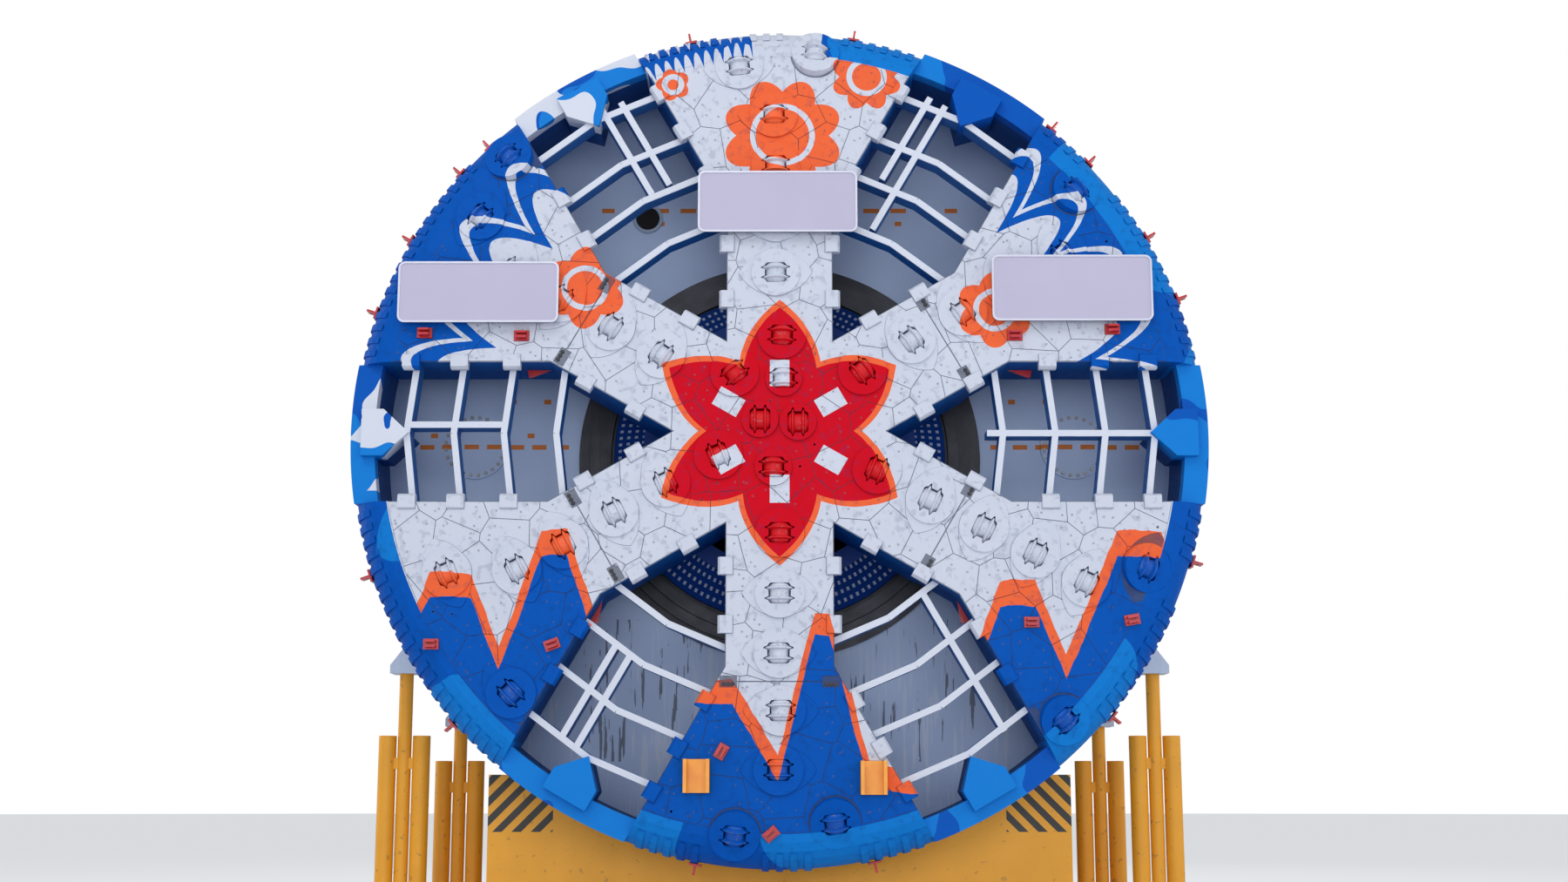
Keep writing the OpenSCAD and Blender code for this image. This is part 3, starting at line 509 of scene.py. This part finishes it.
def head_paint(name, sides):
    """Brushed-on paint over hardfaced steel, with grime in it and worn patches."""
    paint = Paint(name)
    white = paint.mix(paint.noise(1.3), colour(196, 203, 219), colour(214, 219, 232))
    tint, radius, degrees, depth = head_colour(paint, white)
    # The rim is blue, lighter on the right, with white left bare at the upper left
    rim_tint = paint.mix(paint.noise(0.35, 1.0) > 0.52, HEAD_BLUE, RIM_SKY)
    on_rim = radius > FLAT_RADIUS
    keep_white = (abs(degrees - 100.0) < 16.0).either(abs(degrees - 172.0) < 14.0)
    tint = paint.mix(on_rim * (1.0 - keep_white), tint, rim_tint)
    grain = paint.noise(8.0, 5.0)
    if sides:
        # Dirt and painted shade darken the seams between the wear plates, and the openings' walls
        # are blue
        seam = ((depth - FACE_Y) < SEAM_DEPTH) * (radius < SEAMS_TO_RADIUS)
        tint = paint.mix(seam * 0.75, tint, SEAM_DIRT_AND_SHADE)
        wall = ((depth - FACE_Y) > WALL_DEPTH) * (radius < FLAT_RADIUS + 0.1)
        tint = paint.mix(wall, tint, SIDE_BLUE)
    dirt = paint.mix(((grain - 0.55) * 2.0).either(0.0).least(0.2), tint, colour(22, 50, 98))
    shade = paint.mix(paint.noise(1.3) * 0.10, dirt, colour(0, 50, 104))
    paint.set(Base_Color=shade, Roughness=grain * 0.2 + 0.5, Specular_IOR_Level=0.07,
              Normal=paint.bump(grain, 0.22, 0.012))
    return paint.material


block_paint = head_paint("head_block_paint", True)
plate_paint = head_paint("head_plate_paint", False)
for node_name in ("centre_block", "outer_blocks"):
    paint_node(node_name, block_paint)
paint_node("cutter_casings", plate_paint)
paint_node("edge_scrapers", plate_paint)


# The rim ring and its teeth are in two blues, navy on the inner face of the
# ring, where the muck runs through.
RING_NAVY = colour(14, 72, 140)
RING_BORE, BORE_FROM = 7.06, 0.5

ring_paint = Paint("rim_ring_paint")
ring_x, ring_y, ring_z = ring_paint.parts_of(ring_paint.place())
ring_up = ring_z - AXIS_Z
ring_blue = ring_paint.mix(ring_paint.noise(0.5, 2.0) > 0.5, HEAD_BLUE, RIM_SKY)
ring_left = (ring_x < -2.0) * (ring_up > -1.0)
ring_blue = ring_paint.mix(ring_left * (ring_paint.noise(0.9, 1.0) > 0.47), ring_blue, HEAD_WHITE)
inner_face = (distance_of(ring_x, ring_up) < RING_BORE) * ((ring_y - FACE_Y) > BORE_FROM)
ring_paint.set(Base_Color=ring_paint.mix(inner_face, ring_blue, RING_NAVY),
               Roughness=ring_paint.noise(9.0) * 0.2 + 0.45, Specular_IOR_Level=0.1,
               Normal=ring_paint.bump(ring_paint.noise(9.0), 0.25, 0.012))
paint_node("rim_ring", ring_paint.material)


# Grizzly bars are thick plates on edge that hold big stones back. Their front
# edges are rolled white, and their sides are blue like the openings' walls.
bar_paint = Paint("grizzly_bar_paint")
_, bar_y, _ = bar_paint.parts_of(bar_paint.place())
BAR_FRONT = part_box("grizzly_bars")[0].y
bar_side = (bar_y - BAR_FRONT) > 0.03
bar_paint.set(Base_Color=bar_paint.mix(bar_side, colour(206, 212, 226), colour(22, 92, 166)),
              Roughness=bar_paint.noise(12.0) * 0.2 + 0.42, Specular_IOR_Level=0.3,
              Normal=bar_paint.bump(bar_paint.noise(12.0), 0.2, 0.01))
paint_node("grizzly_bars", bar_paint.material)


# Disc cutters are forged rings on a turned hub. They were painted over with the
# face, and bare steel shows through in worn patches.
cutter_paint = Paint("cutter_paint")
cutter_white = cutter_paint.mix(cutter_paint.noise(3.0), colour(190, 197, 213),
                                colour(212, 217, 230))
cutter_tint = head_colour(cutter_paint, cutter_white)[0]
edge_wear = cutter_paint.noise(16.0) > 0.62
cutter_paint.set(Base_Color=cutter_paint.mix(edge_wear * 0.35, cutter_tint, colour(120, 124, 134)),
                 Metallic=edge_wear * 0.4, Specular_IOR_Level=0.3,
                 Roughness=cutter_paint.noise(16.0) * 0.25 + 0.38,
                 Normal=cutter_paint.bump(cutter_paint.noise(16.0), 0.2, 0.006))
cutters = [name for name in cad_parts
           if name.startswith("cutter_") and name != "cutter_casings"]
for node_name in cutters:
    paint_node(node_name, cutter_paint.material)


# Lifting lugs are flame-cut plates in red paint, and the two turning brackets
# low on the face are folded plate in orange-yellow.
def lug_paint(name, main, worn):
    paint = Paint(name)
    paint.set(Base_Color=paint.mix(paint.noise(4.0), main, worn),
              Roughness=paint.noise(4.0) * 0.2 + 0.3, Coat_Weight=0.2,
              Normal=paint.bump(paint.noise(18.0), 0.2, 0.006))
    return paint.material


paint_node("lifting_lugs", lug_paint("lug_red", colour(205, 8, 30), colour(150, 8, 24)))
paint_node("turning_brackets",
           lug_paint("bracket_yellow", colour(247, 168, 14), colour(222, 130, 12)))


# The face is armoured with flame-cut wear plates, fitted to each other by eye
# and welded down, so their seams run in irregular polygons between the collars.
PLATE_PITCH = 0.74
PLATE_JITTER = 0.27
PLATE_SEAM = 0.013
PLATE_PROUD = 0.011
PLATE_SUNK = 0.006
PLATES_TO_RADIUS = 6.83
SPOKE_HALF = 0.925
OPENING_HALF = 1.23
OPENING_TIP = SPOKE_HALF / math.sin(math.radians(30))
OPENING_SLOPE = 0.577
# Joint lines between the centre block and the outer blocks: angle, radius
JOINTS = [(30, 3.29), (90, 4.30), (150, 3.93), (210, 3.66), (270, 4.32), (330, 3.33)]
# Half length of a joint line on a plain and on a widened spoke, the radius from which
# a spoke counts as widened, and half size of the pocket at a line's end
JOINT_HALF, WIDENED_FROM = (0.90, 1.02), 4.2
JOINT_POCKET = (0.10, 0.15)
# Half width and half length of the cut along a joint line, and how deep the cuts go
JOINT_LINE = (0.011, 1.35)
CUT_DEPTH = (-0.1, 0.1)
# Scrapers, lugs and brackets on the face: where they stand, and the half size of their feet
SPOKE_SCRAPERS, BLOCK_SCRAPERS = (2.35, 3.35), (4.65, 5.56, 6.40)
SCRAPER_OVER, SCRAPER_FOOT = 0.065, (0.156, 0.071)
# Lugs: angle, distance from the axis, turn
FACE_LUGS = [(212, 6.96, 0), (223.8, 5.34, 20), (322.2, 5.41, 0), (331.3, 6.82, 10),
             (259.9, 5.58, 60), (268.8, 6.86, 40), (164.3, 6.42, 0), (159.4, 4.8, 0),
             (22.5, 4.43, 0), (17.3, 6.07, 0)]
LUG_FOOT = (0.136, 0.096)
BRACKETS, BRACKET_FOOT = ((-1.39, -5.90), (1.57, -5.93)), (0.226, 0.286)
# Cutters further out than this stand tilted, in a collar that is wider by this much
TILTED_FROM, TILTED_WIDER = 6.69, 0.02
COLLAR_RADIUS, MIDDLE_COLLAR_RADIUS = 0.425, 0.32
PAD_HALF_LENGTH, PAD_HALF_WIDTH, PADS_FROM = 0.64, 0.40, 2.0
FACE_FRAME = Matrix.Translation((0, FACE_Y, AXIS_Z)) @ Matrix.Rotation(math.radians(90), 4, "X")


def turned(angle, x, y):
    c, s = math.cos(math.radians(angle)), math.sin(math.radians(angle))
    return Vector((c * x - s * y, s * x + c * y))


def face_place(node):
    """Middle of a CAD node as x and height from the axis."""
    low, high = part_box(node)
    return Vector(((low.x + high.x) / 2, (low.z + high.z) / 2 - AXIS_Z))


def clip(cell, point, normal):
    """The part of a convex outline that lies behind a line."""
    kept = []
    for i, corner in enumerate(cell):
        before = cell[i - 1]
        past, here = (before - point).dot(normal), (corner - point).dot(normal)
        if past * here < 0:
            kept.append(before.lerp(corner, past / (past - here)))
        if here <= 0:
            kept.append(corner)
    return kept


def add_prism(mesh, outline, low, high):
    """An upright prism over an outline in the face frame."""
    feet = [mesh.verts.new(FACE_FRAME @ Vector((p.x, p.y, low))) for p in outline]
    tops = [mesh.verts.new(FACE_FRAME @ Vector((p.x, p.y, high))) for p in outline]
    mesh.faces.new(tops)
    mesh.faces.new(feet[::-1])
    for i in range(len(outline)):
        mesh.faces.new((feet[i - 1], feet[i], tops[i], tops[i - 1]))


def opening_outline(angle, grow):
    half, tip, end = OPENING_HALF + grow, OPENING_TIP - 2 * grow, 8.0
    shoulder = tip + half / math.tan(math.radians(30))
    return [turned(angle, *p) for p in
            ((tip, 0), (shoulder, -half), (end, -half), (end, half), (shoulder, half))]


def collar_outline(place, radius, padded, grow):
    """A round collar, with the two tips of its wear pad where it has one."""
    along = math.degrees(math.atan2(place.y, place.x)) + 90
    arc = (PAD_HALF_LENGTH ** 2 + PAD_HALF_WIDTH ** 2) / (2 * PAD_HALF_WIDTH)
    outline = []
    for step in range(0, 360, 6):
        reach = radius + grow
        if padded:
            middle = arc - PAD_HALF_WIDTH
            off = middle * abs(math.sin(math.radians(step)))
            across = middle * math.cos(math.radians(step))
            reach = max(reach, math.sqrt(max(arc * arc - across * across, 0)) - off + grow)
        outline.append(place + turned(along, reach * math.cos(math.radians(step)),
                                      reach * math.sin(math.radians(step))))
    return outline


def box_outline(place, angle, half_x, half_y):
    return [place + turned(angle, x, y) for x, y in
            ((-half_x, -half_y), (half_x, -half_y), (half_x, half_y), (-half_x, half_y))]


collars = []
for node_name in cutters:
    place = face_place(node_name)
    middle_one = node_name.startswith("cutter_mid")
    tilted = place.length > TILTED_FROM
    radius = (MIDDLE_COLLAR_RADIUS if middle_one else COLLAR_RADIUS) + tilted * TILTED_WIDER
    collars.append((place, radius, not middle_one and not tilted and place.length > PADS_FROM))

# Plates end short of scrapers, lugs and brackets: middle, turn, half length, half width
face_tools = []
spoke_rows = [(angle, SPOKE_HALF - SCRAPER_OVER, SPOKE_SCRAPERS) for angle, _ in JOINTS]
block_rows = [(angle, OPENING_HALF + SCRAPER_OVER, BLOCK_SCRAPERS) for angle in range(0, 360, 60)]
for angle, across, distances in spoke_rows + block_rows:
    for side in (-1, 1):
        for distance in distances:
            face_tools.append((turned(angle, distance, side * across), angle, *SCRAPER_FOOT))
for angle, distance, turn in FACE_LUGS:
    face_tools.append((turned(angle, distance, 0), turn, *LUG_FOOT))
for place in BRACKETS:
    face_tools.append((Vector(place), 0, *BRACKET_FOOT))


def is_free(point, margin):
    """True where nothing stands on the face within a margin of the point."""
    if point.length > PLATES_TO_RADIUS - margin:
        return False
    for place, radius, padded in collars:
        away = (point - place).length
        if away < radius + margin or (padded and away < PAD_HALF_LENGTH * 0.9):
            return False
    for angle, distance in JOINTS:
        along, across = turned(-angle, *point)
        if along > 0 and abs(along - distance) < margin + 0.02 and abs(across) < 1.4:
            return False
    for angle in range(0, 360, 60):
        along, across = turned(-angle, *point)
        wall = abs(across) + (OPENING_TIP - 2 * margin) * OPENING_SLOPE
        if abs(across) < OPENING_HALF + margin and along * math.tan(math.radians(30)) > wall:
            return False
    for place, angle, half_x, half_y in face_tools:
        along, across = turned(-angle, *(point - place))
        if abs(along) < half_x + margin and abs(across) < half_y + margin:
            return False
    return True


chance = random.Random(41)
seeds = []
rows = int(PLATES_TO_RADIUS / (PLATE_PITCH * 0.87)) + 1
for row in range(-rows, rows + 1):
    for column in range(-rows, rows + 1):
        along = (column + 0.5 * (row % 2)) * PLATE_PITCH + chance.uniform(-1, 1) * PLATE_JITTER
        above = row * PLATE_PITCH * 0.87 + chance.uniform(-1, 1) * PLATE_JITTER
        seed = Vector((along, above))
        if seed.length < PLATES_TO_RADIUS + 0.3:
            seeds.append(seed)
plates = bmesh.new()
weld_places = []
for seed in seeds:
    cell = [seed + Vector(corner) for corner in ((-1, -1), (1, -1), (1, 1), (-1, 1))]
    for other in seeds:
        apart = (other - seed).length
        if 0 < apart < 2:
            way = (other - seed) / apart
            cell = clip(cell, seed + way * (apart - PLATE_SEAM) / 2, way)
    for step in range(0, 360, 4):
        way = turned(step, 1, 0)
        if way.dot(seed) > PLATES_TO_RADIUS * 0.75:
            cell = clip(cell, way * PLATES_TO_RADIUS, way)
    if len(cell) > 2:
        add_prism(plates, cell, -PLATE_SUNK, PLATE_PROUD)
        weld_places += [seed.lerp(corner, 0.62) for corner in cell]
cut_openings, cut_collars, cut_tools = bmesh.new(), bmesh.new(), bmesh.new()
for angle in range(0, 360, 60):
    add_prism(cut_openings, opening_outline(angle, 0.014), *CUT_DEPTH)
for place, radius, padded in collars:
    add_prism(cut_collars, collar_outline(place, radius, padded, 0.005), *CUT_DEPTH)
for place, angle, half_x, half_y in face_tools:
    add_prism(cut_tools, box_outline(place, angle, half_x, half_y), *CUT_DEPTH)
joint_ends = []
for angle, distance in JOINTS:
    add_prism(cut_tools, box_outline(turned(angle, distance, 0), angle, *JOINT_LINE), *CUT_DEPTH)
    for side in (-1, 1):
        half = JOINT_HALF[distance > WIDENED_FROM]
        end = turned(angle, distance, side * (half - JOINT_POCKET[1]))
        if all((end - place).length > radius + JOINT_POCKET[1] for place, radius, _ in collars):
            add_prism(cut_tools, box_outline(end, angle, *JOINT_POCKET), *CUT_DEPTH)
            joint_ends.append((end, angle))


def cut_away(solid, cutters_to_use):
    """The solid mesh less several others, as a mesh of its own."""
    data = bpy.data.meshes.new("uncut")
    solid.to_mesh(data)
    solid.free()
    whole = bpy.data.objects.new("uncut", data)
    bpy.context.scene.collection.objects.link(whole)
    tools = []
    for cutter in cutters_to_use:
        tool_data = bpy.data.meshes.new("cut")
        cutter.to_mesh(tool_data)
        cutter.free()
        tool = bpy.data.objects.new("cut", tool_data)
        bpy.context.scene.collection.objects.link(tool)
        step = whole.modifiers.new("cut", "BOOLEAN")
        step.operation, step.solver, step.object, step.use_self = "DIFFERENCE", "EXACT", tool, True
        tools.append(tool)
    done = whole.evaluated_get(bpy.context.evaluated_depsgraph_get())
    result = bmesh.new()
    result.from_mesh(done.to_mesh())
    for item in [whole, *tools]:
        bpy.data.objects.remove(item)
    return result


plates = cut_away(plates, [cut_openings, cut_collars, cut_tools])
piece_from("face_wear_plates", plates, plate_paint, "cutterhead")


# Each wear plate is held by a few plug welds, ground almost flush. The face's
# paint went over them too, and it is darkened there as painted shade.
WELD_RADIUS = 0.021
WELD_PROUD = 0.004
weld_steel = Paint("plug_weld_steel")
weld_tint = head_colour(weld_steel, HEAD_WHITE)[0]
# The weld dots take the face scheme's colour, darkened towards navy as painted shade.
weld_steel.set(Base_Color=weld_steel.mix(weld_steel.noise(3.0) * 0.3 + 0.35, weld_tint,
                                         colour(24, 36, 62)),
               Metallic=0.2, Roughness=weld_steel.noise(9.0) * 0.2 + 0.42)
welds = bmesh.new()
for point in weld_places:
    if is_free(point, 0.05):
        add_prism(welds, [point + turned(a, WELD_RADIUS, 0) for a in range(0, 360, 36)],
                  PLATE_PROUD - 0.002, PLATE_PROUD + WELD_PROUD)
piece_from("face_plug_welds", welds, weld_steel.material, "cutterhead")


# At both ends of each joint line a pocket in the wear plates leaves room for the
# heads of three joint bolts, black with the thread oil that nobody painted over.
JOINT_BOLTS = (-0.075, 0.0, 0.075)
BOLT_ACROSS = 0.028
BOLT_TALL = 0.022


def add_bolt(mesh, matrix, radius=BOLT_ACROSS, tall=BOLT_TALL):
    """A hexagon bolt head on a washer, its foot at the matrix's origin, z outwards."""
    for sides, width, low, high in ((16, radius * 1.35, -0.001, tall * 0.25), (6, radius, 0, tall)):
        bmesh.ops.create_cone(mesh, cap_ends=True, segments=sides, radius1=width, radius2=width,
                              depth=high - low,
                              matrix=matrix @ Matrix.Translation((0, 0, (low + high) / 2)))


bolt_steel = Paint("bolt_steel")
bolt_steel.set(Base_Color=bolt_steel.mix(bolt_steel.noise(6.0), colour(96, 100, 108),
                                         colour(142, 146, 154)),
               Metallic=0.8, Roughness=bolt_steel.noise(8.0) * 0.2 + 0.3)
oiled_steel = Paint("oiled_steel")
oiled_steel.set(Base_Color=oiled_steel.mix(oiled_steel.noise(9.0), colour(26, 28, 34),
                                           colour(58, 60, 68)),
                Metallic=0.5, Roughness=oiled_steel.noise(8.0) * 0.2 + 0.35)
joint_bolts = bmesh.new()
for place, angle in joint_ends:
    for offset in JOINT_BOLTS:
        spot = place + turned(angle, JOINT_POCKET[0] * 0.42, offset)
        add_bolt(joint_bolts, FACE_FRAME @ Matrix.Translation((spot.x, spot.y, 0)))
piece_from("joint_bolts", joint_bolts, oiled_steel.material, "cutterhead")


# Three blank sign boards stand on pins in front of the face: pale panels with
# rounded corners in a thin raised frame.
# Boards: left, right, foot and top from the axis
BOARDS = [(-1.43, 1.36, 3.51, 4.62), (-6.63, -3.84, 1.88, 2.97), (3.69, 6.48, 1.91, 3.09)]
BOARD_BACK, BOARD_FRONT, FRAME_FRONT = 0.188, 0.206, 0.222
BOARD_CORNER = 0.12
FRAME_WIDTH = 0.035
PIN_RADIUS = 0.022
# A pin's place from the board's sides, and the step of the search for a free spot near it
PIN_IN, PIN_UP, PIN_STEP = 0.45, 0.22, 0.08


def rounded(left, right, foot, top, corner):
    outline = []
    middles = ((right - corner, top - corner, 0), (left + corner, top - corner, 90),
               (left + corner, foot + corner, 180), (right - corner, foot + corner, 270))
    for middle_x, middle_y, start in middles:
        outline += [Vector((middle_x, middle_y)) + turned(start + step, corner, 0)
                    for step in range(0, 91, 15)]
    return outline


board_paint = Paint("board_enamel")
board_paint.set(Base_Color=board_paint.mix(board_paint.noise(1.2), colour(181, 177, 202),
                                           colour(188, 185, 208)),
                Roughness=board_paint.noise(2.5) * 0.1 + 0.5, Specular_IOR_Level=0.2,
                Normal=board_paint.bump(board_paint.noise(5.0), 0.08, 0.01))
frame_steel = Paint("board_frame")
frame_steel.set(Base_Color=frame_steel.mix(frame_steel.noise(3.0), colour(188, 190, 208),
                                           colour(206, 208, 222)), Roughness=0.35, Metallic=0.3)
boards, frames = bmesh.new(), bmesh.new()
for left, right, foot, top in BOARDS:
    add_prism(boards, rounded(left, right, foot, top, BOARD_CORNER), BOARD_BACK, BOARD_FRONT)
    outer = rounded(left, right, foot, top, BOARD_CORNER)
    inner = rounded(left + FRAME_WIDTH, right - FRAME_WIDTH, foot + FRAME_WIDTH,
                    top - FRAME_WIDTH, BOARD_CORNER - FRAME_WIDTH)
    steps = ((outer, BOARD_BACK - 0.002), (outer, FRAME_FRONT), (inner, FRAME_FRONT),
             (inner, BOARD_FRONT - 0.001))
    rings = [[frames.verts.new(FACE_FRAME @ Vector((p.x, p.y, z))) for p in outline]
             for outline, z in steps]
    for low, high in zip(rings, rings[1:]):
        for i in range(len(low)):
            frames.faces.new((low[i - 1], low[i], high[i], high[i - 1]))
    for i in range(len(outer)):
        frames.faces.new((rings[3][i - 1], rings[3][i], rings[0][i], rings[0][i - 1]))
    for x in (left + PIN_IN, right - PIN_IN):
        for y in (foot + PIN_UP, top - PIN_UP):
            spots = [Vector((x + dx * PIN_STEP, y + dy * PIN_STEP))
                     for dx in range(-6, 7) for dy in range(-2, 3)]
            free = [spot for spot in spots if is_free(spot, 0.04)]
            if free:
                spot = min(free, key=lambda p: (p - Vector((x, y))).length)
                add_prism(frames, [spot + turned(a, PIN_RADIUS, 0) for a in range(0, 360, 30)],
                          PLATE_PROUD - 0.002, BOARD_BACK)
piece_from("sign_boards", boards, board_paint.material, "cutterhead")
piece_from("sign_board_frames", frames, frame_steel.material, "cutterhead")


# Bolts at the joints of the machine: around the round covers of the bulkhead,
# the rear cover of the main drive, the pipe flanges and the motors' feet.
BULKHEAD_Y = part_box("bulkhead")[0].y
HOUSING_REAR_Y = FACE_Y + 4.1
REAR_COVER_Y = HOUSING_REAR_Y + 0.08
PIPE_END_Y = FACE_Y + 4.6
MOTOR_RING = 3.36
MOTORS = 14
PIPES = (4.7, -5.5)
# The slurry port in the bulkhead: across, height from the axis, bore and flange radius
PORT = (-2.52, 4.70, 0.22, 0.29)


def ring_of_bolts(mesh, x, up, y, ring, count, forward, radius=BOLT_ACROSS, tall=BOLT_TALL):
    """Bolts in a circle on a face that looks forward (-Y) or back (+Y)."""
    facing = Matrix.Rotation(math.radians(90 if forward else -90), 4, "X")
    for i in range(count):
        spot = turned((i + 0.5) * 360 / count, ring, 0)
        place = Matrix.Translation((x + spot.x, y, AXIS_Z + up + spot.y))
        add_bolt(mesh, place @ facing, radius, tall)


machine_bolts = bmesh.new()
for cover_x in (-5.7, 5.5):
    ring_of_bolts(machine_bolts, cover_x, 0.25, BULKHEAD_Y, 0.55, 24, True)
ring_of_bolts(machine_bolts, 0, 0, REAR_COVER_Y, 2.82, 48, False, 0.034, 0.03)
ring_of_bolts(machine_bolts, 0, 0, REAR_COVER_Y, 0.56, 16, False)
for up in PIPES:
    ring_of_bolts(machine_bolts, 0, up, PIPE_END_Y, 0.295, 12, False, 0.018, 0.016)
for i in range(MOTORS):
    spot = turned((i + 0.5) * 360 / MOTORS, MOTOR_RING, 0)
    ring_of_bolts(machine_bolts, spot.x, spot.y, HOUSING_REAR_Y + 0.06, 0.296, MOTOR_BOLTS, False,
                  0.016, 0.014)
piece_from("machine_bolts", machine_bolts, bolt_steel.material, "shield")


# The slurry port is a short flanged sleeve that is welded into the bulkhead. Its
# bore is painted near black inside as painted shade of a deep hole, though the blank behind it
# closes it for transport.
PORT_PROUD = 0.035
PORT_DEEP = 0.012
port = bmesh.new()
port_x, port_up, bore, flange = PORT
ring_steps = range(0, 360, 9)
port_rings = []
for radius, out in ((flange, -0.005), (flange, PORT_PROUD - 0.01), (flange - 0.01, PORT_PROUD),
                    (bore + 0.01, PORT_PROUD), (bore, PORT_PROUD - 0.01), (bore, PORT_DEEP)):
    spots = [turned(a, radius, 0) for a in ring_steps]
    port_rings.append([port.verts.new((port_x + spot.x, BULKHEAD_Y + COVER_HEIGHT - out,
                                       AXIS_Z + port_up + spot.y)) for spot in spots])
for low, high in zip(port_rings, port_rings[1:]):
    for i in range(len(low)):
        port.faces.new((low[i - 1], low[i], high[i], high[i - 1]))
port.faces.new(port_rings[-1])
bmesh.ops.recalc_face_normals(port, faces=port.faces)
port_paint = Paint("port_paint")
x, y, z = port_paint.parts_of(port_paint.place())
port_off = distance_of(x - port_x, z - (AXIS_Z + port_up))
# Near black inside the bore: painted shade of a deep hole.
port_paint.set(Base_Color=port_paint.mix(port_off < bore + 0.003, SHIELD_DARK, colour(12, 12, 16)),
               Roughness=port_paint.noise(8.0) * 0.2 + 0.5, Specular_IOR_Level=0.2)
piece_from("slurry_port", port, port_paint.material, "shield")
